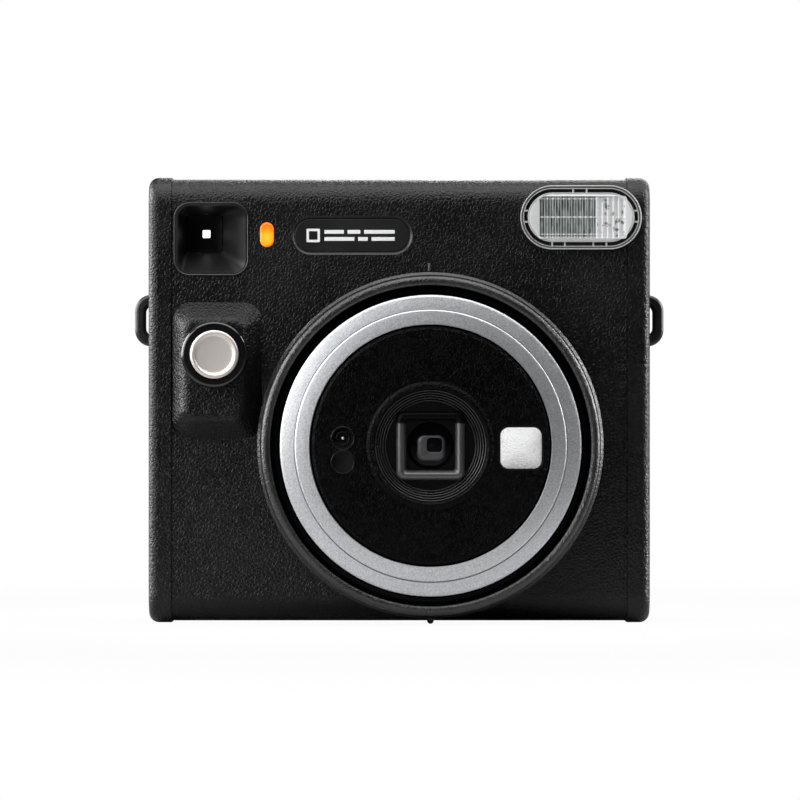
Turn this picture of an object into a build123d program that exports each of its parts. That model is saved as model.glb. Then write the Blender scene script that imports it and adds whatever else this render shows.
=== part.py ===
"""A compact instant film camera with a turning lens ring, as separate pieces.

Units are millimetres. +Z is up and the lens looks along -Y. The origin is on the surface the camera
stands on, under the middle of its bounding box. Every piece is written to parts/NODE.step.
"""

import os
from math import asin, atan2, cos, degrees, pi, radians, sin, sqrt, tan

from build123d import *

# ---------------------------------------------------------------- body
BODY_W = 134.2  # across the two side caps
BODY_H = 119.4  # over the side caps
DEPTH = 60.9  # from the lens rim to the eyecup
CAP_PROUD = 0.5  # the caps stand this far outside the main shells
SEAM_X = 61.0  # where the shells meet the caps
FACE_Y = -13.2  # front face of the front shell
REAR_Y = 28.0  # rear face of the rear shell
SPLIT_Y = 14.5  # plane where front and rear shells meet
EDGE_R = 7.0  # rounding along the long edges of the shells
CAP_EDGE_R = 2.6  # rounding round the outside of a cap
WALL = 2.0
JOINT_GAP = 0.05  # hairline between two pieces that butt
FRONT_Y = -DEPTH / 2
BACK_Y = DEPTH / 2
SHELL_Z0 = CAP_PROUD
SHELL_Z1 = BODY_H - CAP_PROUD
MID_Y = (FACE_Y + REAR_Y) / 2
MID_Z = BODY_H / 2

# ---------------------------------------------------------------- lens axis and its rings (radii)
LENS_X, LENS_Z = 8.3, 47.6
BASE_RING_R = 46.2
GRIP_RING_R = 45.0
GRIP_RING_MOUTH_R = 42.2
SHELL_BORE_R = 43.3
GUIDE_R = (41.9, 43.2)
GUIDE_GROOVE_R = 42.9
CAM_R = (40.5, 41.5)
BARREL_R = (37.8, 39.8)
TRIM_R = 40.0
TIER_R = 36.1  # line between the two silver bands
DISC_R = 32.0  # inside of the silver bands
LIP_R, HOOD_R = 16.4, 15.0
MIRROR_X, MIRROR_Z, MIRROR_SIDE = 32.2, 47.0, 11.0
SENSOR_X, SENSOR_ZS, SENSOR_R = -14.9, (49.6, 43.3), 3.0
BASE_RING_Y = -17.2
GRIP_RING_Y = (-27.4, -17.5)
BARREL_Y, BARREL_BACK_Y = -27.0, 2.0
LENS_TRAVEL = 15.0  # forward travel of the barrel
RING_TURN = 90.0  # turn of the grip ring over that travel
PIN_Y = -0.8  # cam pins on the barrel, lens in
PIN_R = 1.0
CAM_SLOT_R = 1.6
PIN_ANGLES = (30.0, 150.0, 270.0)

# ---------------------------------------------------------------- film path
FILM_Y = 9.0  # plane of the sheet being exposed
FRAME = 64.0  # opening in front of the film
PACK_W, PACK_H, PACK_T = 82.0, 92.0, 16.6
PACK_Z = 6.4
ROLLER_R, ROLLER_GAP = 4.0, 0.3
ROLLER_Z = 103.8
ROLLER_X = (-29.5, 45.9)
GEAR_R = ROLLER_R + ROLLER_GAP / 2  # pitch radius of the roller gears
GEAR_TEETH = 18
MODULE = 2 * GEAR_R / GEAR_TEETH
PINION_TEETH, BIG_TEETH, SMALL_TEETH = 10, 30, 12
MOTOR_Y, MOTOR_Z = -1.0, 93.4
PRESSURE_ANGLE = radians(20)

# ---------------------------------------------------------------- front controls
FINDER_X, FINDER_Z = -52.4, 104.4
FINDER_W, FINDER_H = 10.0, 10.2
FUNNEL_X, FUNNEL_Z, FUNNEL_W, FUNNEL_H = -50.2, 102.6, 19.4, 19.2
LAMP_X, LAMP_Z, LAMP_W, LAMP_H = -35.4, 103.9, 3.7, 6.6
BADGE_X, BADGE_Z, BADGE_W, BADGE_H = -12.6, 103.7, 30.8, 8.8
FLASH_X, FLASH_Z, FLASH_W, FLASH_H = 48.6, 108.5, 32.4, 17.1
PAD_X, PAD_Z, PAD_W, PAD_H, PAD_RISE = -48.8, 67.6, 24.2, 36.4, 5.5
BUTTON_X, BUTTON_Z, BUTTON_R = -49.2, 71.8, 6.5
BEZEL_R = 8.8
BUTTON_TRAVEL = 1.5
LUG_Z, LUG_H, LUG_OUT_X, LUG_BAR, LUG_Y = 81.2, 14.0, 71.6, 3.0, 7.0

# ---------------------------------------------------------------- doors
DOOR_X = (-37.2, 57.5)  # free edge and hinge axis of the film door
DOOR_Z = (9.2, 101.0)
DOOR_Y = (26.8, 29.4)
DOOR_HINGE_R = 2.5
HINGE_Y = DOOR_Y[1] - DOOR_HINGE_R
HINGE_PIN_R = 0.8
PIN_CLEAR = 0.05
BAY_Y = (4.6, 23.0)  # battery door, front to hinge side
BAY_Z = (8.0, 66.0)
BAY_HINGE_R = 1.6
BAY_HINGE_X = -BODY_W / 2 + BAY_HINGE_R
BAY_HINGE_Y = BAY_Y[1] - BAY_HINGE_R
CELL_R, CELL_LEN = 7.8, 27.0
CELL_X, CELL_Y = -55.6, 13.7
COUNTER_X, COUNTER_Z, COUNTER_R, COUNTER_WINDOW_UP = -49.5, 85.0, 7.4, 4.6
LATCH_X, LATCH_Z, LATCH_TRAVEL = -46.0, 58.0, 5.0


# ================================================================ helpers
def block(x, y, z):
    """Box between three (low, high) pairs."""
    centre = [(a + b) / 2 for a, b in (x, y, z)]
    return Pos(*centre) * Box(x[1] - x[0], y[1] - y[0], z[1] - z[0])


def rod_x(y, z, r, x):
    return Pos((x[0] + x[1]) / 2, y, z) * Rot(0, 90, 0) * Cylinder(r, x[1] - x[0])


def rod_y(x, z, r, y):
    return Pos(x, (y[0] + y[1]) / 2, z) * Rot(90, 0, 0) * Cylinder(r, y[1] - y[0])


def rod_z(x, y, r, z):
    return Pos(x, y, (z[0] + z[1]) / 2) * Cylinder(r, z[1] - z[0])


def facing(y):
    """A sketch plane square to the lens axis: its x is +X and its y is +Z, and it extrudes towards -Y."""
    return Plane(origin=(0, y, 0), x_dir=(1, 0, 0), z_dir=(0, -1, 0))


def plate(sketch, x, z, y):
    """A flat piece of the sketch's outline, between two Y planes."""
    return extrude(facing(y[1]) * Pos(x, z) * sketch, y[1] - y[0])


def taper(low, high, y):
    """Loft between the sketch low at y[1] and the sketch high at y[0]; each is (sketch, x, z)."""
    back = facing(y[1]) * Pos(low[1], low[2]) * low[0]
    front = facing(y[0]) * Pos(high[1], high[2]) * high[0]
    return loft([back, front])


def turned(points, x=LENS_X, z=LENS_Z):
    """A turned piece about the lens axis, from a closed outline of (radius, y) points."""
    outline = Plane.XY * make_face(Polyline(*points, close=True))
    return Pos(x, 0, z) * revolve(outline, Axis.Y)


def tube(r_in, r_out, y, x=LENS_X, z=LENS_Z):
    return rod_y(x, z, r_out, y) - rod_y(x, z, r_in, (y[0] - 1, y[1] + 1))


def body_block(grow, x):
    """The body's rounded outline, grown by grow, between two X planes."""
    outline = RectangleRounded(REAR_Y - FACE_Y + 2 * grow, SHELL_Z1 - SHELL_Z0 + 2 * grow, EDGE_R + grow)
    return extrude(Plane.YZ.offset(x[0]) * Pos(MID_Y, MID_Z) * outline, x[1] - x[0])


def edges_at(part, axis, value, tolerance=0.01):
    """Edges that lie wholly in a plane square to an axis."""
    return part.edges().filter_by_position(axis, value - tolerance, value + tolerance)


def coil(radius, wire, pitch, height):
    """A helical spring along +Z from the origin, as one round wire."""
    path = Helix(pitch=pitch, height=height, radius=radius)
    return sweep(Plane(origin=path @ 0, z_dir=path % 0) * Circle(wire), path=path)


def gear_face(teeth):
    """Spur gear outline with involute flanks, thinned a little for backlash."""
    pitch_r = MODULE * teeth / 2
    base_r = pitch_r * cos(PRESSURE_ANGLE)
    tip_r = pitch_r + 0.8 * MODULE
    root_r = pitch_r - 1.1 * MODULE
    backlash = 0.05
    inv = tan(PRESSURE_ANGLE) - PRESSURE_ANGLE
    half = pi / (2 * teeth) + inv - backlash / pitch_r
    flank = []
    steps = 4
    start_r = max(base_r, root_r)
    for i in range(steps + 1):
        r = start_r + (tip_r - start_r) * i / steps
        roll = sqrt(max((r / base_r) ** 2 - 1, 0))
        flank.append((r, half - (roll - asin(roll / sqrt(1 + roll**2)))))
    flank.insert(0, (root_r, flank[0][1]))
    points = []
    for tooth in range(teeth):
        middle = 2 * pi * tooth / teeth
        points += [(r * cos(middle - a), r * sin(middle - a)) for r, a in flank]
        points += [(r * cos(middle + a), r * sin(middle + a)) for r, a in reversed(flank)]
    return make_face(Polyline(*points, close=True))


def gear(teeth, y, z, x, turn=0.0, bore=0.0):
    """A gear on an axis along X, between two X planes, turned by some degrees."""
    face = gear_face(teeth)
    if bore:
        face -= Circle(bore)
    return extrude(Plane.YZ.offset(x[0]) * Pos(y, z) * Rot(0, 0, turn) * face, x[1] - x[0])


# ================================================================ shells
def lamp_outline(width, height, y):
    return plate(Rot(0, 0, 90) * SlotOverall(height, width), LAMP_X, LAMP_Z, y)


def flash_cut():
    return plate(SlotOverall(FLASH_W + 0.3, FLASH_H + 0.3), FLASH_X, FLASH_Z, (-20, -1.5))


def hollow_shell(y):
    """The skin of the body between two Y planes, without its ends."""
    skin = body_block(0, (-SEAM_X, SEAM_X)) - body_block(-WALL, (-SEAM_X - 1, SEAM_X + 1))
    return skin & block((-SEAM_X - 1, SEAM_X + 1), y, (-1, BODY_H + 1))


SCREW_R = 1.0
CAP_SCREWS = [(-2.0, 6.6), (3.4, 113.6)]  # (y, z) of the screws through each cap
REAR_SCREWS = [(-42.0, 10.0), (-41.6, 95.5)]  # (x, z) of the screws through the rear shell


def front_shell():
    shell = hollow_shell((FACE_Y - 1, SPLIT_Y - JOINT_GAP))
    pad_foot = (RectangleRounded(PAD_W, PAD_H, 5.0), PAD_X, PAD_Z)
    pad_top = (RectangleRounded(PAD_W - 8.8, PAD_H - 10.2, 3.0), PAD_X - 0.8, PAD_Z + 0.2)
    pad = taper(pad_foot, pad_top, (FACE_Y - PAD_RISE, FACE_Y))
    pad = fillet(edges_at(pad, Axis.Y, FACE_Y - PAD_RISE), 2.8)
    hollow_foot = (RectangleRounded(PAD_W - 5, PAD_H - 5, 3.0), PAD_X, PAD_Z)
    hollow_top = (RectangleRounded(PAD_W - 12.4, PAD_H - 14, 1.5), PAD_X - 0.6, PAD_Z)
    shell += pad
    shell -= taper(hollow_foot, hollow_top, (FACE_Y - PAD_RISE + 2.2, FACE_Y + WALL + 0.5))
    # the ring round the lens runs across the edge of the pad
    shell -= rod_y(LENS_X, LENS_Z, BASE_RING_R + 0.1, (-30, FACE_Y))
    # the boss that carries the button bezel, inside the pad
    shell += rod_y(BUTTON_X, BUTTON_Z, BEZEL_R + 1.2, (FACE_Y - 3.0, FACE_Y + WALL)) - rod_y(
        BUTTON_X, BUTTON_Z, 4.2, (-40, 0)
    )
    shell -= rod_y(BUTTON_X, BUTTON_Z, BEZEL_R + 0.03, (-30, -16.45))
    shell -= rod_y(BUTTON_X, BUTTON_Z, 4.2, (-30, 0))
    # openings in the face
    shell -= rod_y(LENS_X, LENS_Z, SHELL_BORE_R, (-30, 0))
    shell -= plate(RectangleRounded(FUNNEL_W + 0.1, FUNNEL_H + 0.1, 4.05), FUNNEL_X, FUNNEL_Z, (-20, -8))
    shell -= lamp_outline(LAMP_W + 0.1, LAMP_H + 0.1, (-20, -8))
    badge_rim = (SlotOverall(BADGE_W + 1.8, BADGE_H + 1.8), BADGE_X, BADGE_Z)
    badge_floor = (SlotOverall(BADGE_W + 0.2, BADGE_H + 0.2), BADGE_X, BADGE_Z)
    shell -= taper(badge_floor, badge_rim, (FACE_Y, FACE_Y + 0.9))
    shell -= flash_cut()
    # slot for the print, in the top wall
    shell -= block((LENS_X - 39.6, LENS_X + 39.6), (FILM_Y - 4.1, FILM_Y + 4.1), (110, 130))
    # index mark above the lens
    shell += block((LENS_X - 0.55, LENS_X - 0.05), (FACE_Y - 0.2, FACE_Y + 0.5), (94.2, 96.2))
    # screw bosses: one at each end of the top and bottom walls
    for side in (-1, 1):
        for (y, z), (z0, z1) in zip(CAP_SCREWS, ((1.5, 9.2), (111.0, 117.5))):
            ends = sorted((side * 55.0, side * (SEAM_X - JOINT_GAP)))
            boss = block(tuple(ends), (y - 2.6, y + 2.6), (z0, z1))
            boss &= body_block(-0.5, (-SEAM_X, SEAM_X))
            shell += boss
            shell -= rod_x(y, z, SCREW_R, tuple(sorted((side * 56.0, side * 70.0))))
    return shell


def rear_shell():
    shell = hollow_shell((SPLIT_Y + JOINT_GAP, REAR_Y + 1))
    # doorway of the film door
    doorway_x = (DOOR_X[0] - 0.3, DOOR_X[1] + DOOR_HINGE_R + 0.6)
    shell -= block(doorway_x, (20, 40), (DOOR_Z[0] - 0.3, DOOR_Z[1] + 0.3))
    # hinge ears above and below the door
    for z in ((DOOR_Z[0] - 4.0, DOOR_Z[0] - 0.3), (DOOR_Z[1] + 0.3, DOOR_Z[1] + 4.0)):
        ear = block((DOOR_X[1] - 3.0, SEAM_X - JOINT_GAP), (23.0, REAR_Y), z)
        shell += ear & body_block(0, (-SEAM_X, SEAM_X))
    shell -= rod_z(DOOR_X[1], HINGE_Y, HINGE_PIN_R, (DOOR_Z[0] - 3.2, DOOR_Z[1] + 3.2))
    # eyecup, counter window and latch openings
    shell -= plate(RectangleRounded(14.7, 13.7, 3.05), FINDER_X, FINDER_Z, (20, 40))
    shell -= rod_y(COUNTER_X, COUNTER_Z + COUNTER_WINDOW_UP, 3.85, (20, 40))
    shell -= plate(Rectangle(3.4, 14.4), LATCH_X, LATCH_Z - LATCH_TRAVEL / 2, (20, 40))
    shell -= plate(Rot(0, 0, 90) * SlotOverall(24.4, 9.4), LATCH_X, LATCH_Z - LATCH_TRAVEL / 2, (27.4, 40))
    # post of the counter dial and anchor of the latch spring
    shell += rod_y(COUNTER_X, COUNTER_Z, 0.8, (23.8, REAR_Y - 1))
    shell += block((LATCH_X - 2, LATCH_X + 2), (22.8, REAR_Y - 1), (LATCH_Z + 15.4, LATCH_Z + 16.6))
    for x, z in REAR_SCREWS:
        shell += rod_y(x, z, 2.9, (SPLIT_Y + JOINT_GAP, REAR_Y - 1))
        shell -= rod_y(x, z, SCREW_R, (10, 40))
        shell -= rod_y(x, z, 2.1, (REAR_Y - 1.6, 40))
    return shell


def side_cap():
    """The cap on the +X side, before the openings that only one side has."""
    outer = body_block(CAP_PROUD, (SEAM_X + JOINT_GAP, BODY_W / 2))
    outer = fillet(edges_at(outer, Axis.X, BODY_W / 2), CAP_EDGE_R)
    cap = outer - body_block(CAP_PROUD - WALL, (SEAM_X - 1, BODY_W / 2 - WALL))
    # a thickened seat behind the strap lug, scooped so that a strap passes
    cap += block((SEAM_X + 1.2, BODY_W / 2 - 0.5), (LUG_Y - 10.5, LUG_Y + 10.5), (LUG_Z - 9.5, LUG_Z + 9.5))
    scoop_x = (BODY_W / 2 - 3.0, BODY_W / 2 + 9)
    scoop = block(scoop_x, (LUG_Y - 8.5, LUG_Y + 8.5), (LUG_Z - 4.2, LUG_Z + 4.2))
    cap -= fillet(scoop.edges(), 1.6)
    for y, z in CAP_SCREWS:
        cap += rod_x(y, z, 2.9, (SEAM_X + JOINT_GAP, BODY_W / 2 - 1))
        cap -= rod_x(y, z, SCREW_R, (SEAM_X - 1, 80))
        cap -= rod_x(y, z, 2.1, (BODY_W / 2 - 1.6, 80))
    return cap - strap_lug(0.03)


def strap_lug(grow=0.0):
    """A flat D-shaped loop whose two legs are anchored in the cap."""
    width, height = LUG_OUT_X - 62.6 + grow, LUG_H + 2 * grow
    outer = Pos(62.6 + width / 2, LUG_Z) * RectangleRounded(width, height, 4.4)
    hole_h = LUG_H - 2 * LUG_BAR - 2 * grow
    hole = Pos(LUG_OUT_X - LUG_BAR - grow - 5, LUG_Z) * RectangleRounded(10.0, hole_h, 1.9)
    thick = 3.4 + 2 * grow
    loop = extrude(facing(LUG_Y + thick / 2) * (outer - hole), thick)
    loop &= block((62.5 - grow, 80), (-20, 40), (0, 200))
    if grow:
        return loop
    rim = loop.edges().filter_by(lambda e: abs(abs(e.center().Y - LUG_Y) - thick / 2) < 0.01)
    return fillet(rim.filter_by(lambda e: e.center().X > 66.0), 1.1)


def side_cap_right():
    return side_cap() - flash_cut()


def side_cap_left():
    cap = mirror(side_cap(), about=Plane.YZ)
    opening = block((-80, -60), (BAY_Y[0] - 0.2, BAY_Y[1] + 0.25), (BAY_Z[0] - 0.2, BAY_Z[1] + 0.2))
    cap -= opening
    for z in ((BAY_Z[0] - 3.2, BAY_Z[0] - 0.2), (BAY_Z[1] + 0.2, BAY_Z[1] + 3.2)):
        cap += block((-BODY_W / 2 + 0.6, -62.0), (BAY_Y[1] - 4.0, BAY_Y[1] + 1.0), z)
    return cap - rod_z(BAY_HINGE_X, BAY_HINGE_Y, HINGE_PIN_R, (BAY_Z[0] - 2.4, BAY_Z[1] + 2.4))


def strap_lugs():
    lug = strap_lug()
    return Compound([lug, mirror(lug, about=Plane.YZ)])


# ================================================================ lens, from the body outwards
def lens_base_ring():
    """Fixed ring on the face with the sleeve that guides the barrel, and the foot under the lens.

    Three grooves in the sleeve keep the barrel from turning.
    """
    ring = turned(
        [
            (GUIDE_R[1] - 0.2, BASE_RING_Y),
            (BASE_RING_R - 0.7, BASE_RING_Y),
            (BASE_RING_R, BASE_RING_Y + 0.7),
            (BASE_RING_R, FACE_Y - JOINT_GAP),
            (GUIDE_R[1] - 0.2, FACE_Y - JOINT_GAP),
        ]
    )
    foot_r = 0.9
    foot_y = (BASE_RING_Y + 0.8, FACE_Y - JOINT_GAP)
    ring += rod_y(LENS_X, foot_r, foot_r, foot_y)
    ring += block((LENS_X - foot_r, LENS_X + foot_r), foot_y, (foot_r, 2.2))
    ring += tube(*GUIDE_R, (BASE_RING_Y, 3.4))
    groove_y = (PIN_Y - LENS_TRAVEL - PIN_R - 0.2, 4.0)
    for angle in PIN_ANGLES:
        groove = block((40.0, GUIDE_GROOVE_R), groove_y, (-PIN_R - 0.15, PIN_R + 0.15))
        ring -= Pos(LENS_X, 0, LENS_Z) * Rot(0, angle, 0) * groove
    return ring


def lens_ring():
    """Turning grip ring, rounded at its front edge."""
    y0, y1 = GRIP_RING_Y
    ring = turned(
        [
            (CAM_R[1], y1),
            (GRIP_RING_R, y1),
            (GRIP_RING_R, y0),
            (GRIP_RING_MOUTH_R, y0),
            (GRIP_RING_MOUTH_R, -23.6),
            (CAM_R[1], -23.6),
        ]
    )
    rim = edges_at(ring, Axis.Y, y0)
    return fillet(rim, 1.35)


def cam_ring():
    """Sleeve fixed in the grip ring, with three helical slots that drive the barrel."""
    sleeve = tube(*CAM_R, (-23.6, 3.0))
    pitch = LENS_TRAVEL * 360 / RING_TURN
    mean_r = sum(CAM_R) / 2
    path = Helix(pitch=pitch, height=LENS_TRAVEL, radius=mean_r)
    slot = sweep(Plane(origin=path @ 0, z_dir=path % 0) * Circle(CAM_SLOT_R), path=path)
    for end in (0, 1):
        slot += Pos(path @ end) * Sphere(CAM_SLOT_R)
    # the helix climbs along +Z: laid along -Y, it starts at the pin and runs forward
    slot = Pos(LENS_X, PIN_Y, LENS_Z) * Rot(90, 0, 0) * slot
    for angle in PIN_ANGLES:
        turn = Pos(LENS_X, 0, LENS_Z) * Rot(0, angle, 0) * Pos(-LENS_X, 0, -LENS_Z)
        sleeve -= turn * slot
    return sleeve


def barrel():
    """Tube with a front wall, and three pins for the cam ring."""
    body = tube(*BARREL_R, (BARREL_Y, BARREL_BACK_Y))
    body += tube(HOOD_R + 0.2, BARREL_R[0] + 0.5, (BARREL_Y, BARREL_Y + 1.3))
    for angle in PIN_ANGLES:
        inner, outer = BARREL_R[1] - 0.7, GUIDE_GROOVE_R - 0.2
        pin = rod_x(PIN_Y, 0, PIN_R, (inner, outer))
        body += Pos(LENS_X, 0, LENS_Z) * Rot(0, angle, 0) * pin
    for z in SENSOR_ZS:
        body -= rod_y(SENSOR_X, z, SENSOR_R, (-40, -20))
    return body


def barrel_outer_trim():
    return turned(
        [
            (TIER_R, -28.5),
            (TRIM_R - 0.35, -27.7),
            (TRIM_R, -27.35),
            (TRIM_R, -26.2),
            (BARREL_R[1] + 0.05, -26.2),
            (BARREL_R[1] + 0.05, -27.0 - JOINT_GAP),
            (TIER_R, -27.0 - JOINT_GAP),
        ]
    )


def barrel_inner_trim():
    return turned(
        [
            (DISC_R, -29.6),
            (TIER_R - 0.4, -29.1),
            (TIER_R - 0.06, -28.8),
            (TIER_R - 0.06, -27.1),
            (DISC_R, -27.1),
        ]
    )


def mirror_outline(side, corner=2.3):
    return RectangleRounded(side, side, corner)


def front_disc():
    """Round face of the barrel, with a rolled lip round the lens."""
    disc = turned(
        [
            (HOOD_R, FRONT_Y + 0.35),
            (HOOD_R + 0.5, FRONT_Y),
            (LIP_R - 0.2, FRONT_Y + 0.1),
            (LIP_R + 0.6, FRONT_Y + 0.55),
            (DISC_R - 1.3, FRONT_Y + 0.45),
            (DISC_R - 0.6, FRONT_Y + 0.7),
            (DISC_R - 0.2, FRONT_Y + 1.5),
            (DISC_R - 0.2, BARREL_Y - JOINT_GAP),
            (HOOD_R, BARREL_Y - JOINT_GAP),
        ]
    )
    disc -= plate(mirror_outline(MIRROR_SIDE + 0.8, 2.7), MIRROR_X, MIRROR_Z, (-40, FRONT_Y + 1.9))
    for z in SENSOR_ZS:
        disc -= rod_y(SENSOR_X, z, SENSOR_R, (-40, -20))
    return disc


def lens_hood():
    """Stepped baffle, with the raised square frame round the lens."""
    steps, r_out, r_in, y0, y1 = 5, HOOD_R - 0.05, 11.8, -29.4, -26.6
    points = [(r_out, y0)]
    for i in range(steps):
        r = r_out - 0.25 - (r_out - 0.25 - r_in) * (i + 1) / steps
        back = y0 + (y1 - y0) * (i + 1) / steps
        points += [(r + (r_out - r_in) / steps - 0.12, points[-1][1]), (r + 0.3, back), (r, back - 0.12)]
    points += [(6.4, y1), (6.4, y1 + 1.2), (r_out, y1 + 1.2)]
    frame = RectangleRounded(18.2, 18.2, 1.8) - RectangleRounded(13.0, 13.0, 0.8)
    mask = plate(frame, LENS_X, LENS_Z, (-28.5, y1 + 0.3))
    return turned(points) + chamfer(edges_at(mask, Axis.Y, -28.5), 1.1)


def lens_cell():
    """Tube that carries the glass, on the disc that closes the barrel."""
    room_r, room_y = 17.6, (-20.8, -18.0)
    cell = turned(
        [
            (6.35, -25.3),
            (9.6, -25.3),
            (9.6, room_y[0] - 0.8),
            (room_r + 0.8, room_y[0] - 0.8),
            (room_r + 0.8, room_y[1] + 0.8),
            (9.6, room_y[1] + 0.8),
            (9.6, -14.0),
            (37.7, -14.0),
            (37.7, -12.0),
            (7.0, -12.0),
            (7.0, -16.2),
            (6.0, -16.2),
            (6.0, -23.2),
            (6.35, -23.2),
        ]
    )
    # room for the blades, the fixed stop in front of them and their pivots
    cell -= rod_y(LENS_X, LENS_Z, room_r, room_y)
    cell += plate(Circle(6.2) - RectangleRounded(7.2, 7.2, 1.6), LENS_X, LENS_Z, (-22.4, -21.9))
    for px, pz in BLADE_PIVOTS:
        cell += rod_y(LENS_X + px, LENS_Z + pz, 0.6, (-20.8, -18.2))
    return cell


def lens_glass(radius, bulge, y):
    """A double convex element whose edge sits between two Y planes."""
    near = ThreePointArc((-radius, y[0]), (0, y[0] - bulge), (radius, y[0]))
    far = ThreePointArc((radius, y[1]), (0, y[1] + bulge), (-radius, y[1]))
    sides = [Line((radius, y[0]), (radius, y[1])), Line((-radius, y[1]), (-radius, y[0]))]
    half = make_face(Curve() + [near, sides[0], far, sides[1]]) & Pos(20, 0) * Rectangle(40, 200)
    return Pos(LENS_X, 0, LENS_Z) * revolve(half, Axis.Y)


def front_lens():
    return lens_glass(6.3, 0.9, (-24.9, -23.7))


def rear_lens():
    return lens_glass(6.9, 0.7, (-14.7, -13.5))


BLADE_PIVOTS = ((-6.2, -6.2), (6.2, 6.2))  # (x, z) of the blade pivots from the lens axis
BLADE_Y = ((-20.3, -19.9), (-19.3, -18.9))


def shutter_blade(index):
    """One of two thin blades that swing apart about pivots in opposite corners."""
    px, pz = BLADE_PIVOTS[index]
    side = 1 if index == 0 else -1
    cover = Pos(-side * 2.2, side * 0.6) * Circle(4.6)
    root = Pos(px, pz) * Circle(1.4)
    blade = make_hull(root.edges() + cover.edges())
    return plate(blade - Pos(px, pz) * Circle(0.65), LENS_X, LENS_Z, BLADE_Y[index])


def selfie_mirror():
    return plate(mirror_outline(MIRROR_SIDE), MIRROR_X, MIRROR_Z, (FRONT_Y + 0.6, FRONT_Y + 1.85))


def sensor_windows():
    return Compound([rod_y(SENSOR_X, z, SENSOR_R - 0.05, (FRONT_Y + 1.3, -27.3)) for z in SENSOR_ZS])


def light_sensors():
    cells = []
    for z in SENSOR_ZS:
        can = rod_y(SENSOR_X, z, 2.2, (-26.8, -23.0)) + rod_y(SENSOR_X, z, 2.7, (-23.6, -23.0))
        cells.append(can)
    board_z = (SENSOR_ZS[1] - 3.6, SENSOR_ZS[0] + 3.6)
    board = block((SENSOR_X - 3.4, SENSOR_X + 3.4), (-22.95, -21.9), board_z)
    return Compound(cells + [board])


BELLOWS_Y = (-11.9, 4.9)


def bellows():
    """Pleated light-tight sleeve from the barrel's rear disc to the film frame."""
    folds = 5
    y0, y1 = BELLOWS_Y
    step = (y1 - y0) / (2 * folds)
    half_in, deep, skin = 23.0, 3.2, 0.7
    pleats = None
    for i in range(2 * folds):
        a, b = (half_in, half_in + deep) if i % 2 == 0 else (half_in + deep, half_in)
        y_a, y_b = y0 + i * step, y0 + (i + 1) * step
        outer, inner = [
            taper(
                (Rectangle(2 * (b - inset), 2 * (b - inset)), LENS_X, LENS_Z),
                (Rectangle(2 * (a - inset), 2 * (a - inset)), LENS_X, LENS_Z),
                (y_a, y_b),
            )
            for inset in (0, skin)
        ]
        ring = outer - inner
        pleats = ring if pleats is None else pleats + ring
    return pleats


# ================================================================ front controls
def viewfinder_frame():
    """Square funnel in the face, narrowing off centre to the finder window."""
    y0, y1 = FACE_Y - 0.25, -5.8
    rim = RectangleRounded(FUNNEL_W, FUNNEL_H, 4.0)
    neck = RectangleRounded(FINDER_W + 2.4, FINDER_H + 2.4, 2.0)
    outside = taper((neck, FINDER_X, FINDER_Z), (rim, FUNNEL_X, FUNNEL_Z), (FACE_Y + 1.9, y1))
    outside += plate(rim, FUNNEL_X, FUNNEL_Z, (y0, FACE_Y + 1.9))
    mouth = RectangleRounded(FUNNEL_W - 1.2, FUNNEL_H - 1.2, 3.4)
    throat = RectangleRounded(FINDER_W, FINDER_H, 1.0)
    well = taper((throat, FINDER_X, FINDER_Z), (mouth, FUNNEL_X, FUNNEL_Z), (y0 - 0.01, y1 + 0.01))
    return outside - well


def viewfinder_tube():
    tunnel = plate(Rectangle(FINDER_W + 2, FINDER_H + 2), FINDER_X, FINDER_Z, (-5.75, 25.6))
    return tunnel - plate(Rectangle(FINDER_W, FINDER_H), FINDER_X, FINDER_Z, (-10, 40))


def finder_lenses():
    """Hollow-ground window lens in front and a bulging lens at the eye."""
    pane = Rectangle(FINDER_W - 0.1, FINDER_H - 0.1)
    window = plate(pane, FINDER_X, FINDER_Z, (-5.4, -2.2))
    hollow_r, bulge_r = 15.0, 28.0
    window -= Pos(FINDER_X, -4.3 - hollow_r, FINDER_Z) * Sphere(hollow_r)
    window -= Pos(FINDER_X, -3.3 + hollow_r, FINDER_Z) * Sphere(hollow_r)
    eye = plate(pane, FINDER_X, FINDER_Z, (21.6, 25.5))
    eye &= Pos(FINDER_X, 25.4 - bulge_r, FINDER_Z) * Sphere(bulge_r)
    return Compound([window, eye])


def eyecup():
    cup = plate(RectangleRounded(14.6, 13.6, 3.0), FINDER_X, FINDER_Z, (25.65, BACK_Y))
    cup = fillet(edges_at(cup, Axis.Y, BACK_Y), 1.0)
    return cup - plate(RectangleRounded(9.0, 8.0, 1.6), FINDER_X, FINDER_Z, (20, 40))


def lamp_lens():
    lens = lamp_outline(LAMP_W, LAMP_H, (FACE_Y - 0.35, -10.2))
    lens = fillet(edges_at(lens, Axis.Y, FACE_Y - 0.35), 0.6)
    return lens + lamp_outline(LAMP_W + 1.6, LAMP_H + 1.6, (FACE_Y + WALL + JOINT_GAP, -10.2))


def badge_plate():
    badge = plate(SlotOverall(BADGE_W, BADGE_H), BADGE_X, BADGE_Z, (FACE_Y + 0.3, FACE_Y + 0.88))
    return fillet(edges_at(badge, Axis.Y, FACE_Y + 0.3), 0.2)


FLASH_FACE_Y = -14.6
FLASH_LENS_W, FLASH_LENS_H = 28.1, 13.1


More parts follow.
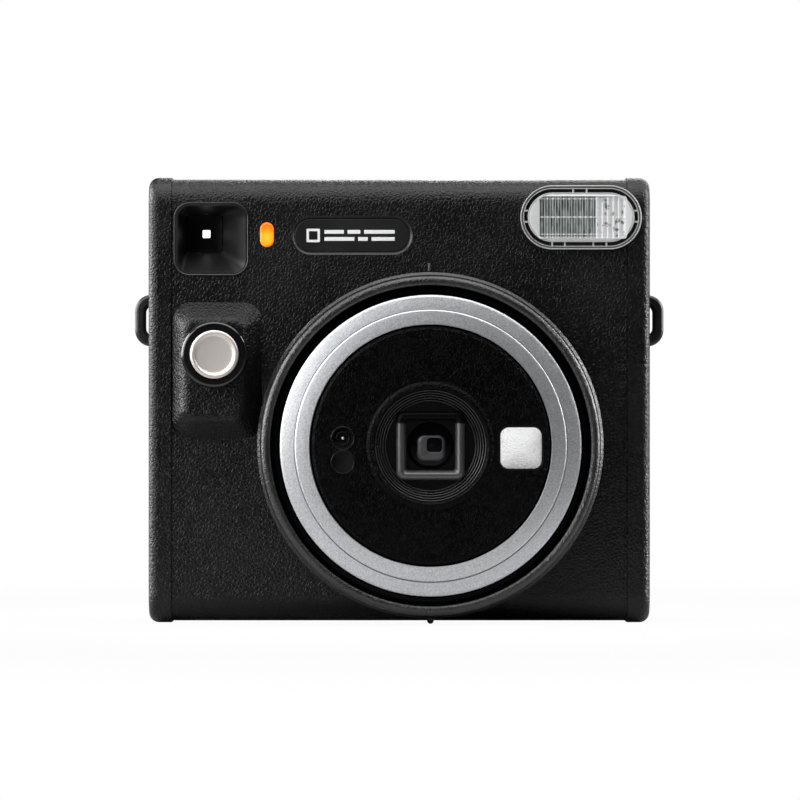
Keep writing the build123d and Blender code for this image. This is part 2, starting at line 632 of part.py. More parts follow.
def flash_window():
    """Clear moulding: a rim, a raised lens and the ribs that join them."""
    rim_w = 1.2
    window = plate(SlotOverall(FLASH_W, FLASH_H), FLASH_X, FLASH_Z, (-12.5, -11.3))
    rim = SlotOverall(FLASH_W, FLASH_H) - SlotOverall(FLASH_W - 2 * rim_w, FLASH_H - 2 * rim_w)
    window += plate(rim, FLASH_X, FLASH_Z, (FLASH_FACE_Y + 0.3, -12.5))
    lens = plate(SlotOverall(FLASH_LENS_W, FLASH_LENS_H), FLASH_X, FLASH_Z, (FLASH_FACE_Y, -12.5))
    window += fillet(edges_at(lens, Axis.Y, FLASH_FACE_Y), 0.5)
    for x, side in ((-2.5, 1), (0.9, 1), (-8.0, -1), (-4.6, -1), (3.0, -1), (6.4, -1)):
        rib_x = (FLASH_X + x - 0.2, FLASH_X + x + 0.2)
        z = FLASH_Z + side * (FLASH_H / 2 - 1.4)
        window += block(rib_x, (FLASH_FACE_Y + 0.6, -12.5), (z - 0.9, z + 0.9))
    return window


def flash_housing():
    """Black box that holds the reflector behind the window."""
    shape = SlotOverall(FLASH_W, FLASH_H) & Rectangle(2 * (64.0 - FLASH_X), 40)
    box = plate(shape, FLASH_X, FLASH_Z, (-11.25, -1.6))
    pocket = plate(SlotOverall(FLASH_LENS_W + 0.1, FLASH_LENS_H + 0.1), FLASH_X, FLASH_Z, (-20, -10.2))
    mouth = block((FLASH_X - 12.2, FLASH_X + 12.2), (-20, -2.6), (FLASH_Z - 5.5, FLASH_Z + 5.5))
    return box - pocket - mouth


def flash_reflector():
    """White surround with a bright curved trough, and the tube in it."""
    surround = plate(SlotOverall(FLASH_LENS_W, FLASH_LENS_H), FLASH_X, FLASH_Z, (-11.2, -10.25))
    trough = block((FLASH_X - 12.1, FLASH_X + 12.1), (-10.25, -2.7), (FLASH_Z - 5.45, FLASH_Z + 5.45))
    bowl = Pos(FLASH_X, -11.2, FLASH_Z) * Rot(0, 90, 0) * scale(Cylinder(1.0, 21.6), by=(4.95, 7.8, 1.0))
    glass = rod_x(-5.6, FLASH_Z, 1.3, (FLASH_X - 9.6, FLASH_X + 9.6))
    ends = rod_x(-5.6, FLASH_Z, 0.5, (FLASH_X - 11.2, FLASH_X + 11.2))
    return surround + trough - bowl + (glass + ends)


def flash_circuit():
    """Board behind the badge and lamp with its parts, and the storage capacitor in the grip."""
    board = block((-38.4, 27.0), (-8.4, -7.2), (94.6, 115.4))
    lamp = block((LAMP_X - 1.4, LAMP_X + 1.4), (-9.8, -8.4), (LAMP_Z - 2.2, LAMP_Z + 2.2))
    transformer = block((-30, -22), (-7.2, -3.0), (98, 106))
    chip = block((-14, -4), (-7.2, -5.8), (97.5, 106))
    storage = fillet(rod_z(-50.5, -4.0, 6.4, (11.0, 44.0)).edges(), 0.6)
    return Compound([board + lamp + transformer + chip, storage])


BEZEL_Y = (-21.4, -16.5)


def button_bezel():
    ring = rod_y(BUTTON_X, BUTTON_Z, BEZEL_R, BEZEL_Y)
    ring = fillet(edges_at(ring, Axis.Y, BEZEL_Y[0]), 0.9)
    ring -= rod_y(BUTTON_X, BUTTON_Z, BUTTON_R + 0.25, (-30, -17.4))
    return ring - rod_y(BUTTON_X, BUTTON_Z, 2.8, (-30, -10))


BUTTON_Y = (-21.9, -19.4)


def shutter_button():
    """Dished metal cap on a stem."""
    y0, y1 = BUTTON_Y
    return turned(
        [
            (0, y0 + 0.55),
            (4.9, y0 + 0.4),
            (5.4, y0 + 0.1),
            (5.8, y0),
            (6.2, y0 + 0.1),
            (BUTTON_R, y0 + 0.5),
            (BUTTON_R, y1),
            (2.4, y1),
            (2.4, -12.7),
            (0, -12.7),
        ],
        BUTTON_X,
        BUTTON_Z,
    )


def button_spring():
    spring = coil(3.6, 0.18, 0.72, 1.44)
    return Pos(BUTTON_X, -17.62, BUTTON_Z) * Rot(90, 0, 0) * spring


def shutter_switch():
    """Push switch behind the button, on its small board."""
    case = block((BUTTON_X - 3, BUTTON_X + 3), (-10.6, -7.2), (BUTTON_Z - 3, BUTTON_Z + 3))
    board = block((-59.5, -38.0), (-7.2, -6.0), (62.0, 82.0))
    return case + rod_y(BUTTON_X, BUTTON_Z, 1.6, (-11.0, -10.6)) + board


# ================================================================ chassis, film and drive
CHAMBER_X = (LENS_X - 44.4, LENS_X + 44.0)
CHAMBER_Z = (4.6, 99.2)


def chassis():
    """Film chamber open at the back, with the picture opening in its front plate."""
    wall = 1.4
    outer = block(CHAMBER_X, (5.0, 25.9), CHAMBER_Z) & body_block(-WALL - 0.1, (-SEAM_X, SEAM_X))
    inner = block(
        (CHAMBER_X[0] + wall, CHAMBER_X[1] - wall), (8.6, 40), (CHAMBER_Z[0] + wall - 0.2, CHAMBER_Z[1] + 10)
    )
    frame = outer - inner
    gate_z = (LENS_Z - FRAME / 2, LENS_Z + FRAME / 2)
    frame -= block((LENS_X - FRAME / 2, LENS_X + FRAME / 2), (0, 12), gate_z)
    frame -= block((LENS_X - 38, LENS_X + 38), (7.4, 12), (96.0, 110))
    # room for the drive gear at the top corner
    return frame - block((LENS_X + 40, 60), (4, 16.5), (91.5, 110))


def film_pack():
    """Flat cartridge with its picture opening, the slot for the sheet and ribs on its back."""
    x = (LENS_X - PACK_W / 2, LENS_X + PACK_W / 2)
    y = (FILM_Y - 0.3, FILM_Y - 0.3 + PACK_T)
    z = (PACK_Z, PACK_Z + PACK_H)
    pack = block(x, y, z)
    pack = fillet(pack.edges().filter_by(Axis.Y), 2.0)
    inner = block((x[0] + 1.2, x[1] - 1.2), (y[0] + 1.0, y[1] - 1.2), (z[0] + 1.2, z[1] - 1.2))
    pack -= inner
    pack -= block((LENS_X - 31.5, LENS_X + 31.5), (0, y[0] + 2), (LENS_Z - 31.5, LENS_Z + 31.5))
    pack -= block((LENS_X - 36.5, LENS_X + 36.5), (y[0] + 1.0, y[0] + 2.4), (z[1] - 2, z[1] + 2))
    for offset in (-24, 24):
        groove = (LENS_X + offset - 3, LENS_X + offset + 3)
        pack -= block(groove, (y[1] - 0.5, y[1] + 1), (z[0] + 14, z[1] - 14))
    # spring plate that pushes the sheets forward
    spring = block((LENS_X - 34, LENS_X + 34), (FILM_Y + 6.5, FILM_Y + 7.1), (14.0, 92.0))
    return Compound([pack, spring])


def film_sheets():
    sheet_w, sheet_h = 72.0, 86.0
    z0 = LENS_Z - 37.0
    sheet_x = (LENS_X - sheet_w / 2, LENS_X + sheet_w / 2)
    return block(sheet_x, (FILM_Y + 0.8, FILM_Y + 6.4), (z0, z0 + sheet_h))


FRONT_ROLLER_Y = FILM_Y - GEAR_R
REAR_ROLLER_Y = FILM_Y + GEAR_R
ROLLER_GEAR_X = (50.6, 53.0)
TRAIN_GEAR_X = (53.4, 55.4)


def roller(y, turn):
    """Steel roller with its gear on the end of the shaft."""
    shaft_end = ROLLER_GEAR_X[1] + 0.1
    drum = rod_x(y, ROLLER_Z, ROLLER_R, ROLLER_X)
    drum += rod_x(y, ROLLER_Z, 1.25, (-33.6, shaft_end))
    return drum + gear(GEAR_TEETH, y, ROLLER_Z, ROLLER_GEAR_X, turn)


def idler_centre():
    """Where the compound gear sits: in mesh with the motor pinion and the front roller gear."""
    to_motor = MODULE * (PINION_TEETH + BIG_TEETH) / 2
    to_roller = MODULE * (SMALL_TEETH + GEAR_TEETH) / 2
    dy, dz = FRONT_ROLLER_Y - MOTOR_Y, ROLLER_Z - MOTOR_Z
    span = sqrt(dy**2 + dz**2)
    along = (to_motor**2 - to_roller**2 + span**2) / (2 * span)
    side = sqrt(to_motor**2 - along**2)
    uy, uz = dy / span, dz / span
    return MOTOR_Y + along * uy + side * uz, MOTOR_Z + along * uz - side * uy


def mesh_turn(driver, driver_turn, driver_teeth, driven, driven_teeth):
    """Turn, in degrees, that puts a tooth gap of the driven gear on a tooth of the driver."""
    line = degrees(atan2(driven[1] - driver[1], driven[0] - driver[0]))
    phase = (line - driver_turn) * driver_teeth / 360
    phase -= int(phase)
    back = line + 180
    return back + (phase + 0.5) * 360 / driven_teeth


IDLER = idler_centre()
FRONT_TURN = 0.0
REAR_TURN = mesh_turn(
    (FRONT_ROLLER_Y, ROLLER_Z), FRONT_TURN, GEAR_TEETH, (REAR_ROLLER_Y, ROLLER_Z), GEAR_TEETH
)
SMALL_TURN = mesh_turn((FRONT_ROLLER_Y, ROLLER_Z), FRONT_TURN, GEAR_TEETH, IDLER, SMALL_TEETH)
PINION_TURN = mesh_turn(IDLER, 0.0, BIG_TEETH, (MOTOR_Y, MOTOR_Z), PINION_TEETH)


def drive_gear():
    """Compound gear between the motor and the rollers."""
    big = gear(BIG_TEETH, *IDLER, TRAIN_GEAR_X, 0.0, bore=0.85)
    small = gear(SMALL_TEETH, *IDLER, (ROLLER_GEAR_X[0], TRAIN_GEAR_X[0]), SMALL_TURN, bore=0.85)
    return big + small


def motor():
    can = rod_x(MOTOR_Y, MOTOR_Z, 5.8, (29.5, 46.9))
    can &= block((29, 48), (MOTOR_Y - 5.0, MOTOR_Y + 5.0), (MOTOR_Z - 6, MOTOR_Z + 6))
    tail = rod_x(MOTOR_Y, MOTOR_Z, 2.4, (28.0, 29.5))
    return can + tail


def motor_pinion():
    pinion = gear(PINION_TEETH, MOTOR_Y, MOTOR_Z, TRAIN_GEAR_X, PINION_TURN)
    return pinion + rod_x(MOTOR_Y, MOTOR_Z, 0.9, (46.95, TRAIN_GEAR_X[1] + 0.2))


def roller_frame():
    """Bearing plates joined by a bar, which carry the rollers, the gears and the motor."""
    left = block((-33.0, -31.0), (-1.3, 19.0), (99.6, 110.5))
    right = block((47.0, 49.0), (-1.3, 19.0), (99.6, 110.5))
    right += block((47.0, 49.0), (-7.0, 4.6), (86.6, 99.6))
    outer = block((55.9, 57.1), (-1.3, 19.0), (90.0, 110.5))
    bar = block((-33.0, 57.1), (-1.3, 0.3), (108.2, 110.5))
    bar += block((49.0, 57.1), (17.8, 19.0), (108.2, 110.5))
    frame = left + right + outer + bar
    for y in (FRONT_ROLLER_Y, REAR_ROLLER_Y):
        frame -= rod_x(y, ROLLER_Z, 1.25 + PIN_CLEAR, (-40, 50))
    frame -= rod_x(MOTOR_Y, MOTOR_Z, 1.1, (40, 50))
    axle = rod_x(*IDLER, 0.8, (50.2, 56.5))
    return frame + axle


FLAP_Y, FLAP_Z = FILM_Y - 2.0, 113.0


def exit_frame():
    """Trim of the slot in the top, with a light trap below it."""
    flange = block((LENS_X - 39.5, LENS_X + 39.5), (FILM_Y - 4.0, FILM_Y + 4.0), (111.0, SHELL_Z1 + 0.1))
    flange = fillet(flange.edges().filter_by(Axis.Z), 1.5)
    flange = fillet(edges_at(flange, Axis.Z, SHELL_Z1 + 0.1), 0.4)
    slot = block((LENS_X - 38.0, LENS_X + 38.0), (FILM_Y - 2.35, FILM_Y + 2.35), (100, 130))
    room_x = (LENS_X - 38.0, LENS_X + 38.0)
    hinge_room = block(room_x, (FLAP_Y - 0.9, FLAP_Y + 0.9), (FLAP_Z - 0.9, FLAP_Z + 0.9))
    frame = flange - slot - hinge_room
    return frame - rod_x(FLAP_Y, FLAP_Z, 0.42, (LENS_X - 39.0, LENS_X + 39.0))


def exit_flap():
    """Light-tight flap that a print pushes open on its way out."""
    spine = rod_x(FLAP_Y, FLAP_Z, 0.75, (LENS_X - 37.6, LENS_X + 37.6))
    leaf = block((LENS_X - 37.6, LENS_X + 37.6), (FLAP_Y, FILM_Y + 2.2), (FLAP_Z - 0.35, FLAP_Z + 0.35))
    pins = rod_x(FLAP_Y, FLAP_Z, 0.38, (LENS_X - 38.8, LENS_X + 38.8))
    return spine + leaf + pins


def counter_dial():
    dial = rod_y(COUNTER_X, COUNTER_Z, COUNTER_R, (24.6, 25.4))
    for tooth in range(20):
        angle = 2 * pi * tooth / 20
        x = COUNTER_X + COUNTER_R * cos(angle)
        z = COUNTER_Z + COUNTER_R * sin(angle)
        dial -= rod_y(x, z, 0.5, (20, 30))
    return dial - rod_y(COUNTER_X, COUNTER_Z, 0.85, (20, 30))


def counter_window():
    return rod_y(COUNTER_X, COUNTER_Z + COUNTER_WINDOW_UP, 3.8, (26.1, 28.2))


def main_board():
    """Control board along the right side, with its larger parts."""
    board = block((57.4, 58.6), (-9.5, 21.0), (14.0, 84.0))
    for y, z in ((-6, 24), (4, 40), (-4, 60), (8, 20)):
        board += block((58.6, 60.2), (y, y + 7), (z, z + 8))
    return board + block((54.2, 57.4), (12, 19), (50, 56))


# ================================================================ film door, latch and battery bay
FILM_WINDOW = ((-20.0, -8.0), (40.0, 72.0))


def film_door():
    panel = block((DOOR_X[0], DOOR_X[1]), DOOR_Y, DOOR_Z)
    panel = fillet(panel.edges().filter_by(Axis.Y).filter_by(lambda e: e.center().X < 0), 3.0)
    rim = edges_at(panel, Axis.Y, DOOR_Y[1])
    panel = fillet(rim.filter_by(lambda e: e.center().X < DOOR_X[1] - 1), 0.9)
    panel += rod_z(DOOR_X[1], HINGE_Y, DOOR_HINGE_R, DOOR_Z)
    panel -= block((DOOR_X[1] - 2.2, DOOR_X[1]), (DOOR_Y[0] - 6, DOOR_Y[0] - 0.2), DOOR_Z)
    (wx0, wx1), (wz0, wz1) = FILM_WINDOW
    centre = ((wx0 + wx1) / 2, (wz0 + wz1) / 2)
    panel -= plate(RectangleRounded(wx1 - wx0, wz1 - wz0, 2.5), *centre, (20, 40))
    # catch that reaches in beside the latch bolt
    catch_x = (DOOR_X[0] + 0.05, DOOR_X[0] + 0.85)
    panel += block(catch_x, (23.4, DOOR_Y[0] + 0.2), (LATCH_Z - 4, LATCH_Z + 4))
    return panel - rod_z(DOOR_X[1], HINGE_Y, HINGE_PIN_R + PIN_CLEAR, (0, 120))


def film_window():
    (wx0, wx1), (wz0, wz1) = FILM_WINDOW
    pane = RectangleRounded(wx1 - wx0 - 0.1, wz1 - wz0 - 0.1, 2.45)
    return plate(pane, (wx0 + wx1) / 2, (wz0 + wz1) / 2, (27.2, 29.1))


def door_latch():
    grip = plate(Rot(0, 0, 90) * SlotOverall(18.0, 8.4), LATCH_X, LATCH_Z, (27.5, 29.9))
    grip = fillet(edges_at(grip, Axis.Y, 29.9), 0.7)
    for dz in (-4, -2, 0, 2, 4):
        grip -= block((LATCH_X - 3, LATCH_X + 3), (29.5, 31), (LATCH_Z + dz - 0.4, LATCH_Z + dz + 0.4))
    neck = block((LATCH_X - 1.5, LATCH_X + 1.5), (25.7, 27.5), (LATCH_Z - 4.4, LATCH_Z + 4.4))
    shoe = block((LATCH_X - 4.4, LATCH_X + 4.4), (24.5, 25.8), (LATCH_Z - 9.0, LATCH_Z + 9.0))
    bolt = block((LATCH_X + 4.4, DOOR_X[0] - 0.15), (24.5, 25.8), (LATCH_Z - 3, LATCH_Z + 3))
    return grip + neck + shoe + bolt


def latch_spring():
    return Pos(LATCH_X, 24.2, LATCH_Z + 9.3) * coil(1.2, 0.2, 1.0, 5.8)


def battery_box():
    """Bay for two cells, open towards the side cap."""
    x = (-61.8, -46.4)
    outer = block(x, (4.8, 22.6), (6.8, 67.0))
    box = outer - block((-80, x[1] - 1.2), (5.8, 21.6), (8.0, 65.8))
    x, y = (CELL_X - 5, CELL_X + 5), (CELL_Y - 5, CELL_Y + 5)
    contacts = [block(x, y, z) for z in ((8.05, 8.4), (65.35, 65.75))]
    return Compound([box] + contacts)


def battery_cells():
    cells = []
    for z in (9.9, 9.9 + CELL_LEN + 0.6):
        can = fillet(rod_z(CELL_X, CELL_Y, CELL_R - 0.05, (z, z + CELL_LEN - 0.8)).edges(), 0.5)
        cells.append(can + rod_z(CELL_X, CELL_Y, 3.0, (z + CELL_LEN - 0.9, z + CELL_LEN)))
    return Compound(cells)


def battery_door():
    x0 = -BODY_W / 2
    panel = block((x0, x0 + 1.8), (BAY_Y[0], BAY_HINGE_Y), BAY_Z)
    panel = fillet(edges_at(panel, Axis.X, x0).filter_by(lambda e: e.center().Y < BAY_HINGE_Y - 1), 0.5)
    for i in range(6):
        z = 52.0 + 1.6 * i
        panel -= block((x0 - 1, x0 + 0.4), (BAY_Y[0] + 3, BAY_Y[0] + 9), (z, z + 0.8))
    panel += rod_z(BAY_HINGE_X, BAY_HINGE_Y, BAY_HINGE_R, BAY_Z)
    return panel - rod_z(BAY_HINGE_X, BAY_HINGE_Y, HINGE_PIN_R + PIN_CLEAR, (0, 120))


def hinge_pins():
    """Pins of the film door and of the battery door."""
    film = rod_z(DOOR_X[1], HINGE_Y, HINGE_PIN_R, (DOOR_Z[0] - 3.1, DOOR_Z[1] + 3.1))
    battery = rod_z(BAY_HINGE_X, BAY_HINGE_Y, HINGE_PIN_R, (BAY_Z[0] - 2.3, BAY_Z[1] + 2.3))
    return Compound([film, battery])


def case_screws():
    """Two screws through each cap and two through the rear shell."""
    screws = []
    head_h, shank = 0.9, 6.0
    for side in (-1, 1):
        seat = BODY_W / 2 - 1.6
        for y, z in CAP_SCREWS:
            head_x, slot_x, shank_x = [
                tuple(sorted((side * a, side * b)))
                for a, b in ((seat, seat + head_h), (seat + 0.4, 80), (seat - shank, seat))
            ]
            head = rod_x(y, z, 1.95, head_x)
            head -= block(slot_x, (y - 1.2, y + 1.2), (z - 0.25, z + 0.25))
            screws.append(head + rod_x(y, z, SCREW_R - 0.02, shank_x))
    seat = REAR_Y - 1.6
    for x, z in REAR_SCREWS:
        head = rod_y(x, z, 1.95, (seat, seat + head_h))
        head -= block((x - 1.2, x + 1.2), (seat + 0.4, 40), (z - 0.25, z + 0.25))
        screws.append(head + rod_y(x, z, SCREW_R - 0.02, (seat - 9.0, seat)))
    return Compound(screws)


# ================================================================ everything
PARTS = {
    "front_shell": front_shell,
    "rear_shell": rear_shell,
    "side_cap_left": side_cap_left,
    "side_cap_right": side_cap_right,
    "strap_lugs": strap_lugs,
    "case_screws": case_screws,
    "lens_base_ring": lens_base_ring,
    "lens_ring": lens_ring,
    "cam_ring": cam_ring,
    "barrel": barrel,
    "barrel_outer_trim": barrel_outer_trim,
    "barrel_inner_trim": barrel_inner_trim,
    "front_disc": front_disc,
    "lens_hood": lens_hood,
    "lens_cell": lens_cell,
    "front_lens": front_lens,
    "rear_lens": rear_lens,
    "shutter_blade_lower": lambda: shutter_blade(0),
    "shutter_blade_upper": lambda: shutter_blade(1),
    "selfie_mirror": selfie_mirror,
    "sensor_windows": sensor_windows,
    "light_sensors": light_sensors,
    "bellows": bellows,
    "viewfinder_frame": viewfinder_frame,
    "viewfinder_tube": viewfinder_tube,
    "finder_lenses": finder_lenses,
    "eyecup": eyecup,
    "lamp_lens": lamp_lens,
    "badge_plate": badge_plate,
    "flash_window": flash_window,
    "flash_housing": flash_housing,
    "flash_reflector": flash_reflector,
    "flash_circuit": flash_circuit,
    "button_bezel": button_bezel,
    "shutter_button": shutter_button,
    "button_spring": button_spring,
    "shutter_switch": shutter_switch,
    "main_board": main_board,
    "chassis": chassis,
    "film_pack": film_pack,
    "film_sheets": film_sheets,
    "roller_frame": roller_frame,
    "roller_front": lambda: roller(FRONT_ROLLER_Y, FRONT_TURN),
    "roller_rear": lambda: roller(REAR_ROLLER_Y, REAR_TURN),
    "drive_gear": drive_gear,
    "motor": motor,
    "motor_pinion": motor_pinion,
    "exit_frame": exit_frame,
    "exit_flap": exit_flap,
    "counter_dial": counter_dial,
    "counter_window": counter_window,
    "film_door": film_door,
    "film_window": film_window,
    "door_latch": door_latch,
    "latch_spring": latch_spring,
    "battery_box": battery_box,
    "battery_cells": battery_cells,
    "battery_door": battery_door,
    "hinge_pins": hinge_pins,
}

if __name__ == "__main__":
    os.makedirs("parts", exist_ok=True)
    for name, make in PARTS.items():
        export_step(make(), f"parts/{name}.step")
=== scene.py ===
"""Looks of the instant camera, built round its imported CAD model. Metres, in the model's own frame."""

from collections import namedtuple
from math import cos, pi, radians, sin

import bmesh
import bpy
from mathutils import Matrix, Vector


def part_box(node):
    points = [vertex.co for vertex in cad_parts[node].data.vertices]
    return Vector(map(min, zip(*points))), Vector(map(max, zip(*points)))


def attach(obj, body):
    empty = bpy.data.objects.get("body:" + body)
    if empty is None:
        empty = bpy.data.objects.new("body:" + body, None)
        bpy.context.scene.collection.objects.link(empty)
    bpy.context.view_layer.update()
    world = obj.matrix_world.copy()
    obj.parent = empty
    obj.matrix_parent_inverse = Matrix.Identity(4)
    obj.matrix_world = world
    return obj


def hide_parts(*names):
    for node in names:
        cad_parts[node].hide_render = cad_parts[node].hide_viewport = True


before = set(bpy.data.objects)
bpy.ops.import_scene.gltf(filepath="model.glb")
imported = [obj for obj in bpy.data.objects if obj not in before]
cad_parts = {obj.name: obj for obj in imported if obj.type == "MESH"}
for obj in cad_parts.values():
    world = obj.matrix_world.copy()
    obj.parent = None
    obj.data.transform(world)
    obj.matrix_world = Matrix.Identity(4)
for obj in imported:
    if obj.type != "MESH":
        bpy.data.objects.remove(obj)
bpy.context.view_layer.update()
scene = bpy.context.scene
MM = 0.001
LENS_AXIS = sum(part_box("lens_ring"), Vector()) / 2


# ---------------------------------------------------------------- node helpers
def new_material(name):
    material = bpy.data.materials.new(name)
    material.use_nodes = True
    nodes, links = material.node_tree.nodes, material.node_tree.links
    return material, nodes, links, nodes["Principled BSDF"]


def place(nodes):
    """Object coordinates in metres: CAD nodes sit at the origin, so this is the model's frame."""
    return nodes.new("ShaderNodeTexCoord").outputs["Object"]


def noise(nodes, links, coords, scale, detail=3.0, rough=0.5):
    n = nodes.new("ShaderNodeTexNoise")
    n.inputs["Scale"].default_value = scale
    n.inputs["Detail"].default_value = detail
    n.inputs["Roughness"].default_value = rough
    links.new(coords, n.inputs["Vector"])
    return n


def cell_edges(nodes, links, coords, scale):
    """Distance to the nearest border between random cells."""
    n = nodes.new("ShaderNodeTexVoronoi")
    n.feature = "DISTANCE_TO_EDGE"
    n.inputs["Scale"].default_value = scale
    links.new(coords, n.inputs["Vector"])
    return n.outputs["Distance"]


def ramp(nodes, links, value, low, high, out_low=0.0, out_high=1.0):
    n = nodes.new("ShaderNodeMapRange")
    n.interpolation_type = "SMOOTHSTEP"
    n.inputs["From Min"].default_value = low
    n.inputs["From Max"].default_value = high
    n.inputs["To Min"].default_value = out_low
    n.inputs["To Max"].default_value = out_high
    links.new(value, n.inputs["Value"])
    return n.outputs["Result"]


def math_node(nodes, links, operation, a, b):
    n = nodes.new("ShaderNodeMath")
    n.operation = operation
    for socket, value in zip(n.inputs, (a, b)):
        if isinstance(value, (int, float)):
            socket.default_value = value
        else:
            links.new(value, socket)
    return n.outputs[0]


def two_tone(nodes, links, factor, dark, light):
    """Mix of two colours, each given as three numbers or as a socket."""
    n = nodes.new("ShaderNodeMix")
    n.data_type = "RGBA"
    for socket, tone in ((n.inputs["A"], dark), (n.inputs["B"], light)):
        if isinstance(tone, tuple):
            socket.default_value = (*tone, 1)
        else:
            links.new(tone, socket)
    links.new(factor, n.inputs["Factor"])
    return n.outputs["Result"]


def add_bump(nodes, links, shader, height, depth):
    n = nodes.new("ShaderNodeBump")
    n.inputs["Strength"].default_value = 1.0
    n.inputs["Distance"].default_value = depth
    links.new(height, n.inputs["Height"])
    links.new(n.outputs["Normal"], shader.inputs["Normal"])


def around(color, spread):
    """A darker and a lighter colour, that share apart from the one given."""
    return tuple(c * (1 - spread) for c in color), tuple(min(1, c * (1 + spread)) for c in color)


# ---------------------------------------------------------------- materials
def leather(name, dark, light, roughness, grain=1.0, depth=0.055, spec=0.4, mouth=0):
    """Moulded plastic with a leather grain: pebbles of about a millimetre between branching creases, the
    creases painted a darker shade than the pebble tops.

    mouth is the radius, in mm, inside which a ring round the lens is dull.
    """
    material, nodes, links, shader = new_material(name)
    where = place(nodes)
    warp = noise(nodes, links, where, 450 * grain, 2)
    shift = nodes.new("ShaderNodeVectorMath")
    shift.operation = "MULTIPLY_ADD"
    shift.inputs[1].default_value = (1.1 * MM,) * 3
    links.new(warp.outputs["Color"], shift.inputs[0])
    links.new(where, shift.inputs[2])
    pebbles = cell_edges(nodes, links, shift.outputs[0], 1050 * grain)
    creases = ramp(nodes, links, pebbles, 0.0, 0.3)
    fine = noise(nodes, links, where, 3800 * grain, 2)
    broad = noise(nodes, links, where, 260 * grain, 2)
    height = creases
    for layer, share in ((fine, 0.05), (broad, 0.5)):
        part = math_node(nodes, links, "MULTIPLY", layer.outputs["Fac"], share)
        height = math_node(nodes, links, "ADD", height, part)
    add_bump(nodes, links, shader, height, depth * MM)
    # painted shade: the creases take the darker colour, the pebble tops the lighter one
    links.new(two_tone(nodes, links, creases, dark, light), shader.inputs["Base Color"])
    wear = noise(nodes, links, where, 60, 3)
    gloss = ramp(nodes, links, wear.outputs["Fac"], 0.3, 0.7, roughness - 0.05, roughness + 0.06)
    links.new(gloss, shader.inputs["Roughness"])
    shader.inputs["Specular IOR Level"].default_value = spec
    if mouth:
        flat = nodes.new("ShaderNodeVectorMath")
        flat.operation = "MULTIPLY"
        flat.inputs[1].default_value = (1, 0, 1)
        links.new(where, flat.inputs[0])
        away = nodes.new("ShaderNodeVectorMath")
        away.operation = "DISTANCE"
        away.inputs[1].default_value = (LENS_AXIS.x, 0, LENS_AXIS.z)
        links.new(flat.outputs[0], away.inputs[0])
        low, high = (mouth - 0.15) * MM, (mouth + 0.15) * MM
        sheen = ramp(nodes, links, away.outputs["Value"], low, high, 0.02, spec)
        links.new(sheen, shader.inputs["Specular IOR Level"])
    return material


def plastic(name, color, roughness, grain=4200, depth=0.006, spread=0.25, spec=0.5, coat=0.0):
    """Plain moulded plastic: a fine spark-eroded texture, with faint patches of gloss."""
    material, nodes, links, shader = new_material(name)
    where = place(nodes)
    fine = noise(nodes, links, where, grain, 2)
    patches = noise(nodes, links, where, 90, 3).outputs["Fac"]
    dark, light = around(color, spread)
    tone = two_tone(nodes, links, ramp(nodes, links, patches, 0.3, 0.7), dark, light)
    links.new(tone, shader.inputs["Base Color"])
    gloss = ramp(nodes, links, patches, 0.25, 0.75, max(0.02, roughness - 0.05), roughness + 0.06)
    links.new(gloss, shader.inputs["Roughness"])
    add_bump(nodes, links, shader, fine.outputs["Fac"], depth * MM)
    shader.inputs["Specular IOR Level"].default_value = spec
    if coat:
        shader.inputs["Coat Weight"].default_value = coat
        shader.inputs["Coat Roughness"].default_value = 0.04
    return material


def metal(name, color, roughness, grain=5200, depth=0.004, stretch=(1, 1, 1), spread=0.06):
    """Satin metal: blasted or brushed, with fine sparkle in colour, gloss and height."""
    material, nodes, links, shader = new_material(name)
    mapping = nodes.new("ShaderNodeMapping")
    mapping.inputs["Scale"].default_value = stretch
    links.new(place(nodes), mapping.inputs["Vector"])
    fine = noise(nodes, links, mapping.outputs[0], grain, 2, 0.7).outputs["Fac"]
    dark, light = around(color, spread)
    tone = two_tone(nodes, links, ramp(nodes, links, fine, 0.3, 0.7), dark, light)
    links.new(tone, shader.inputs["Base Color"])
    gloss = ramp(nodes, links, fine, 0.3, 0.7, roughness - 0.04, roughness + 0.05)
    links.new(gloss, shader.inputs["Roughness"])
    add_bump(nodes, links, shader, fine, depth * MM)
    shader.inputs["Metallic"].default_value = 1.0
    return material


def clear(name, color, roughness=0.03, ior=1.49, ripple=0.002):
    """Clear moulding or glass, with the slightest unevenness."""
    material, nodes, links, shader = new_material(name)
    wave = noise(nodes, links, place(nodes), 400, 1).outputs["Fac"]
    tone = two_tone(nodes, links, wave, tuple(0.97 * c for c in color), color)
    links.new(tone, shader.inputs["Base Color"])
    add_bump(nodes, links, shader, wave, ripple * MM)
    shader.inputs["Transmission Weight"].default_value = 1.0
    shader.inputs["Roughness"].default_value = roughness
    shader.inputs["IOR"].default_value = ior
    return material


def coated_glass(name):
    """Lens glass, with a violet and green bloom on its curved faces."""
    material, nodes, links, shader = new_material(name)
    bloom = noise(nodes, links, place(nodes), 120, 1)
    patches = ramp(nodes, links, bloom.outputs["Fac"], 0.35, 0.65)
    tone = two_tone(nodes, links, patches, (0.72, 0.76, 0.9), (0.82, 0.9, 0.86))
    links.new(tone, shader.inputs["Base Color"])
    shader.inputs["Transmission Weight"].default_value = 1.0
    shader.inputs["Roughness"].default_value = 0.01
    shader.inputs["IOR"].default_value = 1.6
    return material


def board(name):
    """Printed circuit board: green mask over a net of tracks."""
    material, nodes, links, shader = new_material(name)
    tracks = ramp(nodes, links, cell_edges(nodes, links, place(nodes), 520), 0.04, 0.08)
    tone = two_tone(nodes, links, tracks, (0.05, 0.3, 0.12), (0.01, 0.1, 0.04))
    links.new(tone, shader.inputs["Base Color"])
    add_bump(nodes, links, shader, tracks, 0.02 * MM)
    shader.inputs["Roughness"].default_value = 0.35
    return material


